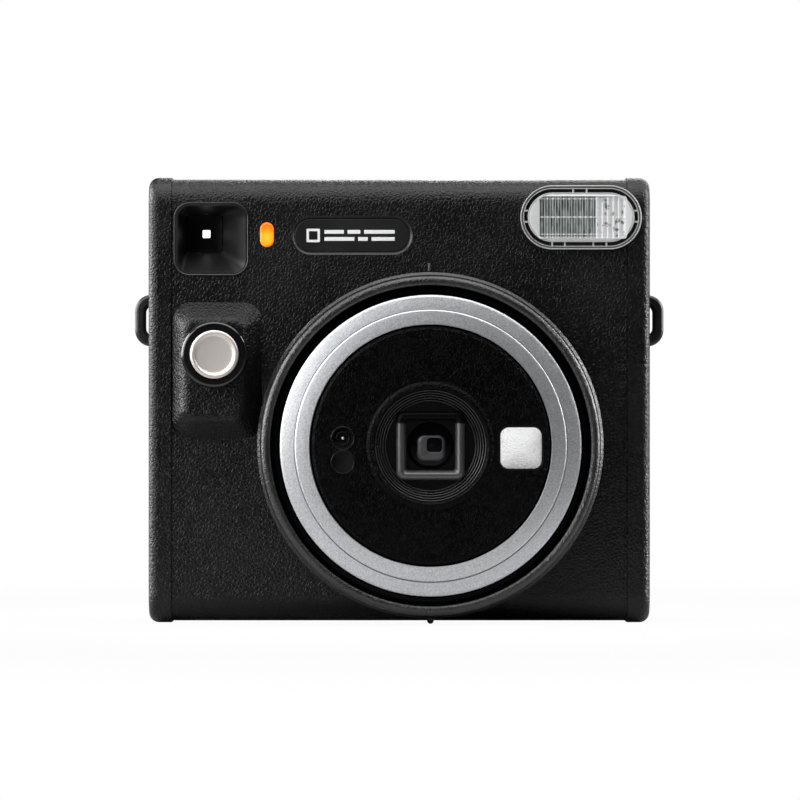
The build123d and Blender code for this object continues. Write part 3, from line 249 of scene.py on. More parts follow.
def plastic_with_painted_glow(name, color, roughness, glow):
    """White moulding with a painted glow: its emission stands in for light passing through the translucent
    plastic.
    """
    material = plastic(name, color, roughness, **SMOOTH_WHITE)
    shader = material.node_tree.nodes["Principled BSDF"]
    shader.inputs["Emission Color"].default_value = (*color, 1)
    shader.inputs["Emission Strength"].default_value = glow
    return material


def flash_cell(name):
    """Flash lens over its trough, all painted: streaks in the trough as painted reflection, fine upright and
    level lines as painted highlights, the tube's mount on the right in its own grey, and a faint painted
    glow.
    """
    material, nodes, links, shader = new_material(name)
    where = place(nodes)
    split = nodes.new("ShaderNodeSeparateXYZ")
    links.new(where, split.inputs[0])
    across, up = split.outputs["X"], split.outputs["Z"]
    middle = sum(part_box("flash_window"), Vector()) / 2
    stretched = nodes.new("ShaderNodeMapping")
    stretched.inputs["Scale"].default_value = (1.0, 1.0, 0.28)
    links.new(where, stretched.inputs["Vector"])
    streaks = noise(nodes, links, stretched.outputs[0], 950, 4, 0.65)
    blots = noise(nodes, links, where, 620, 3, 0.6)
    streaky = ramp(nodes, links, streaks.outputs["Fac"], 0.36, 0.66)
    trough = two_tone(nodes, links, streaky, (0.02, 0.026, 0.023), (0.13, 0.15, 0.145))
    blotted = ramp(nodes, links, blots.outputs["Fac"], 0.36, 0.46)
    mount = two_tone(nodes, links, blotted, (0.1, 0.105, 0.105), (0.46, 0.465, 0.47))
    side = ramp(nodes, links, across, middle.x + 3.6 * MM, middle.x + 4.2 * MM)
    tone = two_tone(nodes, links, side, trough, mount)
    pitch = math_node(nodes, links, "PINGPONG", across, 0.72 * MM)
    lines = ramp(nodes, links, pitch, 0.0, 0.17 * MM, 1.0, 0.0)
    for height, half in ((0.1, 0.3), (5.0, 0.3), (-4.5, 0.22), (-5.3, 0.22)):
        gap = math_node(nodes, links, "SUBTRACT", up, middle.z + height * MM)
        gap = math_node(nodes, links, "ABSOLUTE", gap, 0)
        level = ramp(nodes, links, gap, 0.0, half * MM, 1.0, 0.0)
        lines = math_node(nodes, links, "MAXIMUM", lines, level)
    lines = math_node(nodes, links, "MULTIPLY", lines, 0.85)
    # painted highlights: the lines lift the colour to a bright grey
    bright = two_tone(nodes, links, lines, tone, (0.56, 0.57, 0.57))
    links.new(bright, shader.inputs["Base Color"])
    links.new(bright, shader.inputs["Emission Color"])
    # painted glow: the flash is not fired, yet the cell gives off light
    shader.inputs["Emission Strength"].default_value = 0.3
    shader.inputs["Roughness"].default_value = 0.22
    return material


def amber(name):
    """Lit amber lamp, brightest low in the middle."""
    material, nodes, links, shader = new_material(name)
    lo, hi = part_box("lamp_lens")
    centre = (lo + hi) / 2
    distance = nodes.new("ShaderNodeVectorMath")
    distance.operation = "DISTANCE"
    distance.inputs[1].default_value = (centre.x, lo.y, centre.z - 0.9 * MM)
    links.new(place(nodes), distance.inputs[0])
    glow = ramp(nodes, links, distance.outputs["Value"], 0.2 * MM, 3.6 * MM, 1.0, 0.0)
    tone = two_tone(nodes, links, glow, (0.85, 0.15, 0.0), (1.0, 0.42, 0.02))
    links.new(tone, shader.inputs["Base Color"])
    links.new(tone, shader.inputs["Emission Color"])
    shader.inputs["Emission Strength"].default_value = 0.5
    shader.inputs["Roughness"].default_value = 0.25
    return material


def hood_frame(name):
    """Black moulding with a sheen, and painted shade on the top bar: above a level line its colour darkens
    and its sheen fades, standing in for the shadow of the hood.
    """
    color, shaded = (0.03, 0.03, 0.031), (0.001,) * 3
    material = plastic(name, color, 0.36, **SMOOTH)
    nodes, links = material.node_tree.nodes, material.node_tree.links
    split = nodes.new("ShaderNodeSeparateXYZ")
    links.new(place(nodes), split.inputs[0])
    shade = LENS_AXIS.z + 5.6 * MM
    # painted shade: 1 below the line, 0.04 above it; it darkens the colour and dulls the sheen of the top
    # bar
    sheen = ramp(nodes, links, split.outputs["Z"], shade, shade + 0.6 * MM, 1.0, 0.04)
    shader = nodes["Principled BSDF"]
    links.new(sheen, shader.inputs["Specular IOR Level"])
    links.new(two_tone(nodes, links, sheen, shaded, color), shader.inputs["Base Color"])
    return material


def pleat_cloth(name):
    """Black woven cloth."""
    material, nodes, links, shader = new_material(name)
    weave = noise(nodes, links, place(nodes), 2600, 2).outputs["Fac"]
    links.new(two_tone(nodes, links, weave, (0.006,) * 3, (0.02,) * 3), shader.inputs["Base Color"])
    add_bump(nodes, links, shader, weave, 0.03 * MM)
    shader.inputs["Roughness"].default_value = 0.9
    return material


# fine textures for plastic()
SMOOTH_WHITE = {"grain": 5200, "depth": 0.0006, "spread": 0.02}
SMOOTH = {"grain": 5200, "depth": 0.0006, "spread": 0.05}
FINE = {"grain": 5200, "depth": 0.0005, "spread": 0.05}
FAINT = {"grain": 4200, "depth": 0.001, "spread": 0.05}

GLAZED = {"grain": 600, "depth": 0.0001, "spread": 0.1}
GLOSSY = {"grain": 2600, "depth": 0.001, "spread": 0.1}

# the darker tones are painted shade in the leather's creases; the lighter tones are the pebble tops
BODY_CREASE_SHADE, BODY_LIGHT = (0.0006,) * 3, (0.0014, 0.0014, 0.0015)
RING_LIGHT = (0.0012,) * 3
DISC_CREASE_SHADE, DISC_LIGHT = (0.0004,) * 3, (0.0009, 0.0009, 0.001)

M = {
    "shell": leather("body_leather", BODY_CREASE_SHADE, BODY_LIGHT, 0.38, grain=0.94, depth=0.08, spec=0.32),
    "cap": leather("cap_leather", BODY_CREASE_SHADE, BODY_LIGHT, 0.38, grain=0.94, depth=0.065, spec=0.34),
    "ring": leather("ring_leather", BODY_CREASE_SHADE, RING_LIGHT, 0.38, depth=0.05, spec=0.8, mouth=42.6),
    "disc": leather("disc_leather", DISC_CREASE_SHADE, DISC_LIGHT, 0.34, grain=1.1, depth=0.08, spec=0.07),
    "satin": plastic("satin_black", (0.0055, 0.0055, 0.0057), 0.38),
    "inner": plastic("inner_black", (0.003, 0.003, 0.003), 0.5, spec=0.3),
    "gloss": plastic("gloss_black", (0.004, 0.004, 0.0042), 0.12, coat=0.4, **GLOSSY),
    "mask": plastic("mask_black", (0.0015, 0.0015, 0.0017), 0.24, spec=0.2, **SMOOTH),
    "ridge": plastic("ridge_black", (0.014, 0.014, 0.0145), 0.28, spec=0.9, **SMOOTH),
    "bevel": plastic("bevel_black", (0.012, 0.012, 0.0125), 0.38, spec=1.0, **SMOOTH),
    "frame": hood_frame("frame_black"),
    "badge": plastic("badge_black", (0.005, 0.005, 0.0055), 0.4, **FAINT),
    "funnel": plastic("funnel_black", (0.008, 0.008, 0.0082), 0.36, **FAINT),
    # near-black; on the finder mask and the screw crosses it is painted shade
    "void": plastic("void_black", (0.0008, 0.0008, 0.0008), 0.4, spec=0.1, **SMOOTH),
    # painted reflection: the grey of the frame that stands in for a window's reflection in the front lens
    "lens_reflection": plastic("painted_reflection_grey", (0.045, 0.045, 0.047), 0.32, **FINE),
    "rubber": plastic("rubber_black", (0.007, 0.007, 0.007), 0.62, grain=2200, depth=0.02),
    "silver": metal("blasted_silver", (0.55, 0.56, 0.58), 0.44, grain=2600, depth=0.012, spread=0.2),
    "button": metal("button_satin", (0.78, 0.725, 0.69), 0.5, grain=9000, depth=0.0004, spread=0.015),
    "steel": metal("plain_steel", (0.62, 0.61, 0.6), 0.28, grain=3000, depth=0.003, stretch=(1, 1, 6)),
    "dark_steel": metal("dark_steel", (0.03, 0.03, 0.03), 0.4),
    "brass": metal("turned_brass", (0.78, 0.57, 0.25), 0.3),
    "mirror": metal("mirror_face", (0.94, 0.94, 0.95), 0.1, grain=9000, depth=0.0001, spread=0.005),
    "reflector": metal("bright_reflector", (0.9, 0.9, 0.91), 0.12, grain=2000, depth=0.001),
    "glass": coated_glass("coated_glass"),
    # painted shade: opaque near-black for the front lens, standing for the dark inside seen through clear
    # glass
    "glass_painted_dark": plastic("glass_painted_dark", (0.002, 0.002, 0.003), 0.1, spec=0.12, **GLAZED),
    "clear": clear("clear_moulding", (0.97, 0.98, 0.98)),
    "smoked": plastic("smoked_window", (0.003, 0.003, 0.004), 0.06, grain=800, depth=0.0002, spread=0.1),
    "tick": plastic("index_grey", (0.08, 0.08, 0.08), 0.4, **FAINT),
    # painted glow: the frosted flash surround, the clear flash edges and the finder's field give off light,
    # though none is a lamp
    "frosted": plastic_with_painted_glow("frosted_white", (0.58, 0.585, 0.59), 0.3, 0.1),
    "rim_dark": plastic("clear_shadow", (0.09, 0.09, 0.088), 0.12, **FINE),
    "edge": plastic_with_painted_glow("clear_edge", (0.4, 0.405, 0.4), 0.2, 0.1),
    "field": plastic_with_painted_glow("finder_painted_glow", (0.9, 0.91, 0.92), 0.4, 1.4),
    "cell": flash_cell("flash_cell"),
    "white": plastic("moulded_white", (0.72, 0.72, 0.68), 0.45, grain=3200, depth=0.005, spread=0.03),
    "print": plastic("film_sheet", (0.8, 0.8, 0.77), 0.35, grain=2200, depth=0.002, spread=0.02),
    "ink": plastic("mark_white", (0.86, 0.86, 0.86), 0.45, grain=4200, depth=0.001, spread=0.02),
    "sleeve": plastic("cell_sleeve", (0.02, 0.03, 0.06), 0.22, grain=1800, depth=0.001, spread=0.15),
    "board": board("circuit_board"),
    "amber": amber("amber_lamp"),
    "cloth": pleat_cloth("bellows_cloth"),
}

# every other node is "inner"
FINISH = {
    "shell": ("front_shell", "rear_shell", "film_door"),
    "cap": ("side_cap_left", "side_cap_right", "battery_door"),
    "ring": ("lens_ring", "lens_base_ring"),
    "disc": ("front_disc",),
    "satin": ("strap_lugs", "door_latch", "exit_frame"),
    "funnel": ("viewfinder_frame",),
    "void": ("viewfinder_tube", "barrel", "cam_ring"),
    "gloss": ("button_bezel",),
    "badge": ("badge_plate",),
    "mask": ("lens_hood",),
    "rubber": ("eyecup",),
    "silver": ("barrel_outer_trim", "barrel_inner_trim"),
    "button": ("shutter_button",),
    "steel": ("hinge_pins", "roller_front", "roller_rear", "roller_frame", "motor", "button_spring",
              "latch_spring", "light_sensors"),
    "dark_steel": ("case_screws", "shutter_blade_lower", "shutter_blade_upper"),
    "brass": ("motor_pinion",),
    "mirror": ("selfie_mirror",),
    "reflector": ("flash_reflector",),
    "glass": ("front_lens", "rear_lens", "finder_lenses"),
    "clear": ("flash_window", "counter_window"),
    "smoked": ("film_window", "sensor_windows"),
    "white": ("drive_gear", "counter_dial"),
    "print": ("film_sheets",),
    "sleeve": ("battery_cells",),
    "board": ("flash_circuit", "main_board", "shutter_switch"),
    "amber": ("lamp_lens",),
    "cloth": ("bellows",),
}
finish_of = {node: key for key, names in FINISH.items() for node in names}
for node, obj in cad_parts.items():
    material = M[finish_of.get(node, "inner")]
    if not obj.material_slots:
        obj.data.materials.append(material)
    for slot in obj.material_slots:
        slot.material = material


# ---------------------------------------------------------------- mesh helpers
Box = namedtuple("Box", "middle size lo hi")


def box_of(node):
    """Middle of a node's box in metres, then its size and its two corners in mm."""
    lo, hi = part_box(node)
    return Box((lo + hi) / 2, (hi - lo) / MM, lo / MM, hi / MM)


def piece(name, bm, material, body, replaces=(), smooth=True):
    bmesh.ops.recalc_face_normals(bm, faces=bm.faces)
    mesh = bpy.data.meshes.new(name)
    bm.to_mesh(mesh)
    bm.free()
    for polygon in mesh.polygons:
        polygon.use_smooth = smooth
    obj = bpy.data.objects.new(name, mesh)
    scene.collection.objects.link(obj)
    mesh.materials.append(M[material])
    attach(obj, body)
    if replaces:
        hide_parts(*replaces)
    return obj


def flat_shade(obj, angle=40):
    """Smooth the gentle curves and keep the corners crisp."""
    obj.data.set_sharp_from_angle(angle=radians(angle))


def join_rows(bm, low, high):
    """A band of four-sided faces between two closed rows of as many corners."""
    for i in range(len(low)):
        j = (i + 1) % len(low)
        bm.faces.new((low[i], low[j], high[j], high[i]))


def lathe(bm, profile, axis, segments=160):
    """Turn (radius, y) points, in mm, about an axis along Y through axis = (x, z) in metres.

    A profile that starts and ends on the axis makes a solid; any other is closed into a ring.
    """
    x, z = axis
    rows = []
    for r, y in profile:
        if r == 0:
            rows.append([bm.verts.new((x, y * MM, z))])
            continue
        ring = []
        for i in range(segments):
            a = 2 * pi * i / segments
            ring.append(bm.verts.new((x + r * MM * cos(a), y * MM, z + r * MM * sin(a))))
        rows.append(ring)
    solid = profile[0][0] == 0
    for low, high in zip(rows, rows[1:] if solid else rows[1:] + rows[:1]):
        for i in range(segments):
            j = (i + 1) % segments
            corners = [low[i % len(low)], low[j % len(low)], high[j % len(high)], high[i % len(high)]]
            corners = list(dict.fromkeys(corners))
            if len(corners) > 2:
                bm.faces.new(corners)


def outline(width, height, corner, steps=12):
    """Points of a rounded rectangle round the origin, in mm."""
    corner = min(corner, width / 2 - 1e-4, height / 2 - 1e-4)
    points = []
    for sx, sz, start in ((1, 1, 0), (-1, 1, 90), (-1, -1, 180), (1, -1, 270)):
        for i in range(steps + 1):
            a = radians(start + 90 * i / steps)
            u = sx * (width / 2 - corner) + corner * cos(a)
            v = sz * (height / 2 - corner) + corner * sin(a)
            points.append((u, v))
    return points


def loft(bm, centre, sections, hollow):
    """Join rounded rectangles into a solid or a closed frame round centre = (x, z) in metres.

    Each is (width, height, corner, y), in mm, and may add a shift in x and one in z.
    """
    x, z = centre
    rows = []
    for width, height, corner, y, *shift in sections:
        dx, dz = shift if shift else (0, 0)
        corners = outline(width, height, corner)
        rows.append([bm.verts.new((x + (u + dx) * MM, y * MM, z + (v + dz) * MM)) for u, v in corners])
    for low, high in zip(rows, rows[1:] + rows[:1] if hollow else rows[1:]):
        join_rows(bm, low, high)
    if not hollow:
        bm.faces.new(rows[0])
        bm.faces.new(rows[-1])


def bar(bm, lo, hi, round_by=0.15):
    """Block between two corners in mm, with its long edges eased."""
    (x0, y0, z0), (x1, y1, z1) = lo, hi
    w, h = x1 - x0, z1 - z0
    e = min(round_by, w / 3, h / 3, (y1 - y0) / 2)
    centre = ((x0 + x1) / 2 * MM, (z0 + z1) / 2 * MM)
    end = (w - 2 * e, h - 2 * e, e)
    loft(bm, centre, [(*end, y0), (w, h, e, y0 + e), (w, h, e, y1 - e), (*end, y1)], False)


# ---------------------------------------------------------------- lens front
def bands(axis):
    """The two silver bands: an eased inner edge, a shallow slope and a rounded rim."""
    outer, inner = box_of("barrel_outer_trim"), box_of("barrel_inner_trim")
    rim, step, disc = outer.size.x / 2, inner.size.x / 2 + 0.06, 32.0
    y, back = outer.lo.y, outer.hi.y
    bm = bmesh.new()
    lathe(bm, [
        (step, y + 0.3), (step + 0.06, y + 0.1), (step + 0.22, y), (step + 0.42, y + 0.04),
        (rim - 0.75, y + 0.68), (rim - 0.4, y + 0.8), (rim - 0.12, y + 1.0), (rim, y + 1.3),
        (rim, back), (step + 3.75, back), (step + 3.75, y + 1.45), (step, y + 1.45)], axis)
    flat_shade(piece("band_outer", bm, "silver", "lens_barrel", ["barrel_outer_trim"]), 30)
    y, back = inner.lo.y, inner.hi.y
    bm = bmesh.new()
    lathe(bm, [
        (disc, y + 0.35), (disc + 0.05, y + 0.14), (disc + 0.2, y), (disc + 0.4, y + 0.03),
        (step - 0.55, y + 0.44), (step - 0.3, y + 0.52), (step - 0.14, y + 0.66), (step - 0.08, y + 0.9),
        (step - 0.08, back), (disc, back)], axis)
    flat_shade(piece("band_inner", bm, "silver", "lens_barrel", ["barrel_inner_trim"]), 30)


def ports(front):
    """Rims round the two sensor ports, and the bright cell seen in the upper one."""
    windows = box_of("sensor_windows")
    r, y = windows.size.x / 2, windows.lo.y
    upper = (windows.middle.x, (windows.hi.z - r) * MM)
    lower = (windows.middle.x, (windows.lo.z + r) * MM)
    for i, centre in enumerate((upper, lower)):
        bm = bmesh.new()
        lathe(bm, [
            (r - 0.16, front + 0.75), (r - 0.1, front + 0.38), (r + 0.05, front + 0.28),
            (r + 0.22, front + 0.36), (r + 0.3, front + 0.6), (r + 0.3, front + 0.9),
            (r - 0.16, front + 0.9)], centre, 64)
        piece("port_rim_%d" % i, bm, "mask", "lens_barrel")
    bm = bmesh.new()
    lathe(bm, [
        (r * 0.52, y - 0.25), (r * 0.58, y - 0.4), (r * 0.66, y - 0.25), (r * 0.66, y + 0.1),
        (r * 0.52, y + 0.1)], upper, 64)
    piece("port_inner_rim", bm, "mask", "lens_barrel")
    bm = bmesh.new()
    lathe(bm, [(0, y - 0.6), (0.22, y - 0.56), (0.38, y - 0.44), (0.42, y - 0.2), (0, y - 0.2)], upper, 32)
    piece("port_cell", bm, "steel", "lens_barrel")


def portrait_mirror(front):
    """Self-portrait mirror with a gentle dome and a crisp edge, in a black bezel."""
    mirror = box_of("selfie_mirror")
    centre = (mirror.middle.x, mirror.middle.z)
    w, y = mirror.size.x, mirror.lo.y
    rows = [(w, w, 2.3, mirror.hi.y), (w, w, 2.3, y + 0.08), (w - 0.12, w - 0.12, 2.24, y)]
    for k in (0.97, 0.85, 0.7, 0.5, 0.3, 0.12, 0.03):
        rows.append((w * k, w * k, 2.3 * k, y - 0.014 * (1 - k * k)))
    bm = bmesh.new()
    loft(bm, centre, rows, False)
    flat_shade(piece("mirror_dome", bm, "mirror", "lens_barrel", ["selfie_mirror"]), 20)
    y = front + 0.42
    bm = bmesh.new()
    loft(bm, centre, [
        (w + 0.35, w + 0.35, 2.45, y + 0.5), (w + 0.4, w + 0.4, 2.5, y + 0.2),
        (w + 0.6, w + 0.6, 2.55, y + 0.05), (w + 0.9, w + 0.9, 2.7, y + 0.02),
        (w + 1.0, w + 1.0, 2.75, y + 0.5)], True)
    piece("mirror_bezel", bm, "void", "lens_barrel")


def hood(axis):
    """Crests of the baffle's steps, and the rounded square frame inside them."""
    box = box_of("lens_hood")
    first_r, first_y, pitch, drop = box.size.x / 2 - 0.32, box.lo.y + 0.02, 0.66, 0.56
    bm = bmesh.new()
    for i in range(5):
        r, y = first_r - pitch * i, first_y + drop * i
        lathe(bm, [
            (r - 0.2, y + 0.42), (r - 0.15, y + 0.08), (r - 0.06, y - 0.04), (r + 0.06, y - 0.04),
            (r + 0.15, y + 0.06), (r + 0.2, y + 0.42)], axis)
    piece("hood_crests", bm, "ridge", "lens_barrel")
    y, crest = box.lo.y + 0.9, 15.6
    rows = [
        (18.25, 1.9), (18.2, 0.9), (18.0, 0.35), (17.6, 0.0), (17.0, -0.26), (16.3, -0.42), (crest, -0.46),
        (15.0, -0.38), (14.4, -0.16), (13.8, 0.22), (13.2, 0.8), (12.95, 1.9)]
    bm = bmesh.new()
    loft(bm, axis, [(w, w, 1.9 if w > crest else 0.8, y + dy) for w, dy in rows], True)
    flat_shade(piece("hood_mask", bm, "frame", "lens_barrel"), 35)


def outer_lens(axis):
    """Domed front element in opaque near-black, painted shade for the dark inside seen through it, and a
    grey frame over it standing in for the window frame that shows in it, a painted reflection.
    """
    lens = box_of("front_lens")
    y, r = lens.lo.y, lens.size.x / 2
    dome = [(r * k, y + 0.9 * k * k) for k in (0.12, 0.25, 0.4, 0.55, 0.7, 0.85, 0.95)]
    bm = bmesh.new()
    lathe(bm, [(0, y)] + dome + [(r, y + 1.0), (r, lens.hi.y), (0, lens.hi.y)], axis, 96)
    flat_shade(piece("lens_dome", bm, "glass_painted_dark", "lens_barrel", ["front_lens"]), 50)
    # painted reflection: a grey rounded-square frame, shifted off the axis, in place of a window's
    # reflection
    bm = bmesh.new()
    loft(bm, (axis[0] + 0.15 * MM, axis[1] - 0.6 * MM), [
        (7.9, 7.4, 2.2, y + 0.75), (7.7, 7.2, 2.1, y + 0.5), (7.2, 6.7, 2.0, y + 0.2),
        (6.0, 5.6, 1.6, y - 0.12, 0.3, 0.25), (4.3, 4.1, 1.0, y - 0.22, 0.85, 0.7),
        (4.0, 3.8, 0.9, y - 0.08, 0.9, 0.75), (3.9, 3.7, 0.9, y + 0.75, 0.9, 0.75)], True)
    flat_shade(piece("lens_painted_reflection", bm, "lens_reflection", "lens_barrel"), 35)


def lens_front():
    middle = box_of("barrel_outer_trim").middle
    axis = (middle.x, middle.z)
    disc_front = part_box("front_disc")[0].y / MM
    bands(axis)
    ports(disc_front)
    portrait_mirror(disc_front)
    hood(axis)
    outer_lens(axis)


# ---------------------------------------------------------------- face details
def index_mark(face):
    """Tick on the face above the lens."""
    x = box_of("lens_base_ring").middle.x / MM - 0.3
    half, foot, top = 0.3, 94.15, 96.25
    bm = bmesh.new()
    bar(bm, (x - half, face - 0.28, foot), (x + half, face + 0.1, top), 0.12)
    piece("index_mark", bm, "tick", "camera_body")


def badge():
    """Raised rim and, inside it, a generic mark: an open square, then bars of several lengths."""
    plate = box_of("badge_plate")
    w, h, y, r = plate.size.x, plate.size.z, plate.lo.y, 9
    x, z = plate.middle.x, plate.middle.z
    bm = bmesh.new()
    loft(bm, (x, z), [
        (w + 0.1, h + 0.1, r, y + 0.3), (w + 0.15, h + 0.15, r, y + 0.03),
        (w + 1.45, h + 1.45, r, y - 0.27), (w + 1.6, h + 1.6, r, y - 0.32),
        (w + 1.75, h + 1.75, r, y - 0.24), (w + 1.75, h + 1.75, r, y + 0.3)], True)
    piece("badge_rim", bm, "badge", "camera_body")
    y0, y1 = y - 0.07, y + 0.05
    left = x / MM - 10.4
    bm = bmesh.new()
    loft(bm, (left * MM, z), [
        (3.6, 3.6, 0.3, y1), (3.6, 3.6, 0.3, y0), (2.3, 2.3, 0.2, y0), (2.3, 2.3, 0.2, y1)], True)
    half = 0.5
    upper, lower = ((3.0, 5.2), (9.2, 3.4), (13.6, 8.2)), ((3.0, 8.0), (12.0, 2.6), (15.6, 6.2))
    for level, bars in ((0.95, upper), (-0.95, lower)):
        for start, length in bars:
            low, high = z / MM + level - half, z / MM + level + half
            bar(bm, (left + start, y0, low), (left + start + length, y1, high), 0.05)
    piece("badge_mark", bm, "ink", "camera_body", smooth=False)


def release_button():
    """Dished release button with a rolled rim, recessed at the back for its spring."""
    button = box_of("shutter_button")
    y, back, r = button.lo.y, button.hi.y, button.size.x / 2
    dish = [(r * k, y + 0.62 - 0.16 * k * k) for k in (0.15, 0.3, 0.45, 0.6, 0.7)]
    rim = [
        (r * 0.77, y + 0.5), (r * 0.8, y + 0.32), (r * 0.83, y + 0.1), (r * 0.87, y), (r * 0.93, y + 0.04),
        (r * 0.975, y + 0.18), (r, y + 0.5)]
    stem = [
        (r, back - 6.7), (4.4, back - 6.7), (4.4, back - 8.25), (2.4, back - 8.25), (2.4, back), (0, back)]
    bm = bmesh.new()
    lathe(bm, [(0, y + 0.62)] + dish + rim + stem, (button.middle.x, button.middle.z), 96)
    flat_shade(piece("button_cap", bm, "button", "release", ["shutter_button"]), 50)


def face_details():
    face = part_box("badge_plate")[0].y / MM - 0.3
    index_mark(face)
    badge()
    release_button()


# ---------------------------------------------------------------- viewfinder
def finder():
    """Black mask as painted shade over the finder's dark inside, a small glowing field deep in it as painted
    light for the view through the finder, and the funnel's lip.
    """
    tube = box_of("viewfinder_tube")
    w, h = tube.size.x - 2.0, tube.size.z - 2.0
    centre = (tube.middle.x, tube.middle.z)
    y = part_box("finder_lenses")[0].y / MM
    dx, dz = 0.6, -0.1
    bm = bmesh.new()
    loft(bm, centre, [
        (w - 0.05, h - 0.05, 1.0, y - 0.2), (w - 0.5, h - 0.5, 0.9, y - 0.1),
        (2.7, 2.7, 0.4, y - 0.07, dx, dz), (2.2, 2.2, 0.3, y - 0.1, dx, dz),
        (2.0, 2.0, 0.3, y - 0.03, dx, dz), (w - 0.05, h - 0.05, 1.0, y - 0.03)], True)
    # painted shade: a near-black sheet across the finder lens
    piece("finder_painted_shade_mask", bm, "void", "camera_body")
    bm = bmesh.new()
    loft(bm, centre, [
        (2.1, 2.1, 0.3, y - 0.04, dx, dz), (2.1, 2.1, 0.3, y - 0.1, dx, dz),
        (1.7, 1.7, 0.25, y - 0.14, dx, dz)], False)
    # painted light: the field glows, standing in for the view through the finder
    piece("finder_painted_glow", bm, "field", "camera_body")
    funnel = box_of("viewfinder_frame")
    w, h, y = funnel.size.x + 0.55, funnel.size.z + 0.35, funnel.lo.y
    bm = bmesh.new()
    loft(bm, (funnel.middle.x - 0.15 * MM, funnel.middle.z + 0.25 * MM), [
        (w, h, 4.2, y + 0.7), (w, h, 4.2, y + 0.1), (w - 0.1, h - 0.1, 4.2, y - 0.02),
        (w - 0.3, h - 0.3, 4.1, y - 0.05), (w - 1.3, h - 1.3, 3.7, y + 0.26),
        (w - 1.5, h - 1.5, 3.6, y + 0.55), (w - 1.6, h - 1.6, 3.6, y + 1.3)], True)
    flat_shade(piece("finder_lip", bm, "bevel", "camera_body"), 40)


# ---------------------------------------------------------------- flash
FLASH_CORNER = 9.0


def flash_frame(name, window, insets, y_front, y_back, material, edge=0.16):
    """Closed frame between two insets from the flash window's outline."""
    outer, inner = insets
    w, h = window.size.x, window.size.z
    bm = bmesh.new()
    loft(bm, (window.middle.x, window.middle.z), [
        (w - 2 * outer, h - 2 * outer, FLASH_CORNER, y_back),
        (w - 2 * outer, h - 2 * outer, FLASH_CORNER, y_front + edge),
        (w - 2 * outer - 2 * edge, h - 2 * outer - 2 * edge, FLASH_CORNER, y_front),
        (w - 2 * inner + 2 * edge, h - 2 * inner + 2 * edge, FLASH_CORNER, y_front),
        (w - 2 * inner, h - 2 * inner, FLASH_CORNER, y_front + edge),
        (w - 2 * inner, h - 2 * inner, FLASH_CORNER, y_back)], True)
    piece(name, bm, material, "camera_body")


def flash_prisms(window):
    """Upright prisms in front of the trough."""
    x, y0, z = window.middle.x / MM + 0.3, window.lo.y, window.middle.z / MM
    x0, x1 = x - 11.35, x + 11.35
    ends = (z - 5.58, z + 5.58)
    count = 62
    front, back = [], []
    bm = bmesh.new()
    for i in range(count + 1):
        x = x0 + (x1 - x0) * i / count
        y = y0 + (0.62 if i % 4 < 2 else 0.5) + (0.05 if i % 2 else 0.0)
        front.append([bm.verts.new((x * MM, y * MM, z * MM)) for z in ends])
        back.append([bm.verts.new((x * MM, (y0 + 2.4) * MM, z * MM)) for z in ends])
    for i in range(count):
        bm.faces.new((front[i][0], front[i + 1][0], front[i + 1][1], front[i][1]))
        bm.faces.new((back[i][0], back[i][1], back[i + 1][1], back[i + 1][0]))
        bm.faces.new((front[i][0], back[i][0], back[i + 1][0], front[i + 1][0]))
        bm.faces.new((front[i][1], front[i + 1][1], back[i + 1][1], back[i][1]))
    for i in (0, count):
        bm.faces.new((front[i][0], front[i][1], back[i][1], back[i][0]))
    piece("flash_prisms", bm, "cell", "camera_body", ["flash_window"], smooth=False)


def flash_ribs(window):
    """Ribs between the rim and the lens."""
    w, h = window.size.x, window.size.z
    x, y, z = window.middle.x / MM, window.lo.y, window.middle.z / MM
    front, back, half, near, far, eased = y + 0.55, y + 2.4, 0.24, 0.4, 2.05, 0.08
    bm = bmesh.new()
    for at in (-2.1, 1.5):
        bar(bm, (x + at - half, front, z + h / 2 - far), (x + at + half, back, z + h / 2 - near), eased)
    for at in (-7.7, -4.3, 3.3, 6.8):
        bar(bm, (x + at - half, front, z - h / 2 + near), (x + at + half, back, z - h / 2 + far), eased)
    for at in (1.8, -1.2):
        bar(bm, (x - w / 2 + near, front, z + at - half), (x - w / 2 + far, back, z + at + half), eased)
        bar(bm, (x + w / 2 - far, front, z + at - half), (x + w / 2 - near, back, z + at + half), eased)
    piece("flash_ribs", bm, "edge", "camera_body")


def flash():
    window = box_of("flash_window")
    y = window.lo.y
    back = y + 2.6
    flash_frame("flash_rim", window, (0.0, 0.3), y + 0.32, back, "edge", 0.1)
    flash_frame("flash_rim_step", window, (0.3, 0.72), y + 0.5, back, "rim_dark", 0.1)
    flash_frame("flash_rim_edge", window, (0.72, 0.94), y + 0.42, back, "edge", 0.07)
    flash_frame("flash_floor", window, (0.5, 2.2), y + 1.9, y + 2.7, "gloss", 0.05)
    flash_frame("flash_pill", window, (1.95, 2.3), y + 0.1, back, "edge", 0.12)
    w, h, r = window.size.x - 4.6, window.size.z - 4.6, FLASH_CORNER
    shift = (0.3, 0.0)
    bm = bmesh.new()
    loft(bm, (window.middle.x, window.middle.z), [
        (w, h, r, back), (w, h, r, y + 0.3), (w - 0.5, h - 0.5, r, y + 0.06),
        (23.6, h - 1.2, 0.5, y + 0.02, *shift), (22.9, 11.3, 0.4, y + 0.16, *shift),
        (22.6, 11.1, 0.4, y + 0.7, *shift), (22.6, 11.1, 0.4, back, *shift)], True)
    flat_shade(piece("flash_surround", bm, "frosted", "camera_body"), 30)
    flash_prisms(window)
    flash_ribs(window)


# ---------------------------------------------------------------- back and inside
SEGMENTS = {"0": "abcdef", "1": "bc", "2": "abged", "4": "fgbc", "6": "afgedc", "8": "abcdefg"}


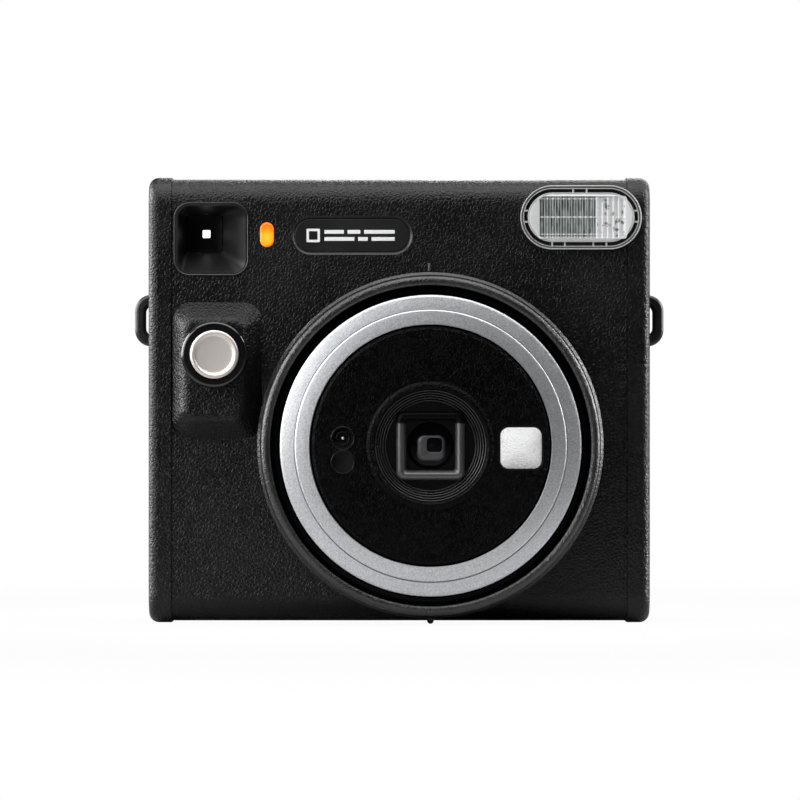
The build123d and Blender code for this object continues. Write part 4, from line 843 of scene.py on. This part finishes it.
def digit(bm, text, x, y, z, height):
    """Upright number made of bars, read from behind; x runs the other way there."""
    w, h, t = height * 0.5 / 2, height / 2, height * 0.15
    spans = {
        "a": ((-w, h - t), (w, h)), "g": ((-w, -t / 2), (w, t / 2)), "d": ((-w, -h), (w, -h + t)),
        "f": ((w - t, 0), (w, h)), "b": ((-w, 0), (-w + t, h)),
        "e": ((w - t, -h), (w, 0)), "c": ((-w, -h), (-w + t, 0))}
    for index, char in enumerate(text):
        ox = x - index * height * 0.75 + (len(text) - 1) * height * 0.375
        for key in SEGMENTS[char]:
            (u0, v0), (u1, v1) = spans[key]
            bar(bm, (ox + u0, y, z + v0), (ox + u1, y + 0.06, z + v1), 0.01)


def counter_numbers():
    """Even numbers and a ring of dots on the counter dial."""
    dial = box_of("counter_dial")
    cx, cz, y, r = dial.middle.x / MM, dial.middle.z / MM, dial.hi.y, dial.size.x / 2
    numbers, dots, half = ("10", "8", "6", "4", "2", "0"), 30, 0.12
    bm = bmesh.new()
    for i, text in enumerate(numbers):
        a = radians(90 + 60 * i)
        digit(bm, text, cx + r * 0.62 * cos(a), y - 0.02, cz + r * 0.62 * sin(a), 1.7)
    for i in range(dots):
        a = radians(12 * i + 6)
        u, v = cx + r * 0.86 * cos(a), cz + r * 0.86 * sin(a)
        bar(bm, (u - half, y - 0.02, v - half), (u + half, y + 0.05, v + half), 0.01)
    piece("counter_numbers", bm, "sleeve", "counter", smooth=False)


def painted_screw_crosses():
    """Crosses in the heads of the two screws beside the film door, as near-black bars: painted shade for the
    cross recesses.
    """
    y = box_of("case_screws").hi.y
    rear_screws = ((-42.0, 10.0), (-41.6, 95.5))
    long, narrow = 1.7, 0.42
    bm = bmesh.new()
    for x, z in rear_screws:
        for w, h in ((long, narrow), (narrow, long)):
            bar(bm, (x - w / 2, y - 0.05, z - h / 2), (x + w / 2, y + 0.015, z + h / 2), 0.02)
    piece("painted_screw_crosses", bm, "void", "camera_body", smooth=False)


def door_inside():
    """Light seal and two leaf springs on the inside of the film door."""
    door_middle, door_face = (8.1 * MM, 55.0 * MM), 26.82
    seal_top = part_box("chassis")[1].y / MM + 0.12
    pack_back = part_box("film_pack")[1].y / MM + 0.15
    bm = bmesh.new()
    loft(bm, door_middle, [
        (86.4, 87.6, 4.0, door_face), (86.4, 87.6, 4.0, seal_top + 0.2), (85.8, 87.0, 3.8, seal_top),
        (80.6, 81.8, 2.2, seal_top), (80.0, 81.2, 2.0, seal_top + 0.2), (80.0, 81.2, 2.0, door_face)], True)
    piece("door_seal", bm, "cloth", "back_door")
    foot, length, thick, width, steps = 28.0, 50.0, 0.3, 7.0, 24
    bow = door_face - pack_back - 0.35
    bm = bmesh.new()
    for x in (-24.0, 30.0):
        rows = []
        for i in range(steps + 1):
            y = door_face - 0.02 - bow * sin(pi * i / steps) ** 2
            z = foot + length * i / steps
            corners = ((0, 0), (0, thick), (width, thick), (width, 0))
            rows.append([bm.verts.new(((x + u) * MM, (y - v) * MM, z * MM)) for u, v in corners])
        for low, high in zip(rows, rows[1:]):
            join_rows(bm, low, high)
        bm.faces.new(rows[0])
        bm.faces.new(rows[-1])
    flat_shade(piece("door_springs", bm, "steel", "back_door"))


def back_details():
    counter_numbers()
    painted_screw_crosses()
    door_inside()


# ---------------------------------------------------------------- stage, light, camera
def stage_material():
    """Pale floor that glows by itself away from the object, so that it meets the white beyond."""
    material = bpy.data.materials.new("white_floor")
    material.use_nodes = True
    nodes, links = material.node_tree.nodes, material.node_tree.links
    nodes.clear()
    out = nodes.new("ShaderNodeOutputMaterial")
    glow = nodes.new("ShaderNodeEmission")
    glow.inputs["Color"].default_value = (1, 1, 1, 1)
    matt = nodes.new("ShaderNodeBsdfDiffuse")
    where = place(nodes)
    grain = noise(nodes, links, where, 40, 2)
    away = nodes.new("ShaderNodeVectorMath")
    away.operation = "LENGTH"
    links.new(where, away.inputs[0])
    pale = ramp(nodes, links, away.outputs["Value"], 0.09, 0.22, 0.36, 0.07)
    speckle = math_node(nodes, links, "MULTIPLY", grain.outputs["Fac"], 0.02)
    links.new(math_node(nodes, links, "ADD", pale, speckle), matt.inputs["Color"])
    fade = ramp(nodes, links, away.outputs["Value"], 0.08, 0.4, 0.95, 1.0)
    path = nodes.new("ShaderNodeLightPath")
    fade = math_node(nodes, links, "MULTIPLY", fade, path.outputs["Is Camera Ray"])
    mix = nodes.new("ShaderNodeMixShader")
    links.new(fade, mix.inputs[0])
    links.new(matt.outputs[0], mix.inputs[1])
    links.new(glow.outputs[0], mix.inputs[2])
    links.new(mix.outputs[0], out.inputs["Surface"])
    return material


def make_stage():
    bm = bmesh.new()
    bmesh.ops.create_circle(bm, cap_ends=True, segments=96, radius=5.0)
    mesh = bpy.data.meshes.new("floor")
    bm.to_mesh(mesh)
    bm.free()
    floor = bpy.data.objects.new("floor", mesh)
    scene.collection.objects.link(floor)
    mesh.materials.append(stage_material())


def make_world():
    """White to look at, dim to be lit by."""
    world = bpy.data.worlds.new("studio")
    scene.world = world
    world.use_nodes = True
    nodes, links = world.node_tree.nodes, world.node_tree.links
    nodes.clear()
    out = nodes.new("ShaderNodeOutputWorld")
    seen, lit = nodes.new("ShaderNodeBackground"), nodes.new("ShaderNodeBackground")
    seen.inputs["Color"].default_value = (1, 1, 1, 1)
    lit.inputs["Color"].default_value = (1, 1, 1, 1)
    lit.inputs["Strength"].default_value = 0.015
    path = nodes.new("ShaderNodeLightPath")
    mix = nodes.new("ShaderNodeMixShader")
    links.new(path.outputs["Is Camera Ray"], mix.inputs[0])
    links.new(lit.outputs[0], mix.inputs[1])
    links.new(seen.outputs[0], mix.inputs[2])
    links.new(mix.outputs[0], out.inputs["Surface"])


def softbox(name, where, size, power, target=(0, 0, 0.06)):
    light = bpy.data.lights.new(name, "AREA")
    light.shape = "RECTANGLE"
    light.size, light.size_y = size
    light.energy = power
    obj = bpy.data.objects.new(name, light)
    obj.location = where
    obj.rotation_euler = (Vector(target) - Vector(where)).to_track_quat("-Z", "Y").to_euler()
    scene.collection.objects.link(obj)


def make_lights():
    """Faint card for the mirror to show, a key light, two rims, and soft light from above and behind."""
    softbox("mirror_card", (0.06, -2.4, 0.04), (0.13, 0.13), 0.08, (0.032, 0, 0.047))
    softbox("key_left", (-0.62, -0.46, 0.33), (0.6, 0.55), 5.4)
    softbox("rim_left", (-1.3, 0.3, 0.35), (1.3, 1.2), 50)
    softbox("rim_right", (1.25, 0.15, 0.35), (0.6, 1.2), 38)
    softbox("top", (0.05, -0.2, 1.25), (2.0, 1.5), 31)
    softbox("behind", (0.3, 1.3, 0.7), (0.8, 0.8), 12)


def make_camera():
    """Level, square to the front, from about a metre and a half away."""
    distance, view_width = 1.45, 0.21692
    subject = (0.0002, 0.007, 0.0597)
    data = bpy.data.cameras.new("camera")
    data.sensor_width = 36.0
    data.lens = data.sensor_width * distance / view_width
    data.clip_start, data.clip_end = 0.1, 50
    camera = bpy.data.objects.new("camera", data)
    camera.location = (subject[0], subject[1] - distance, subject[2])
    camera.rotation_euler = (radians(90), 0, 0)
    scene.collection.objects.link(camera)
    scene.camera = camera


lens_front()
face_details()
finder()
flash()
back_details()
make_stage()
make_world()
make_lights()
make_camera()
scene.view_settings.view_transform = "Standard"
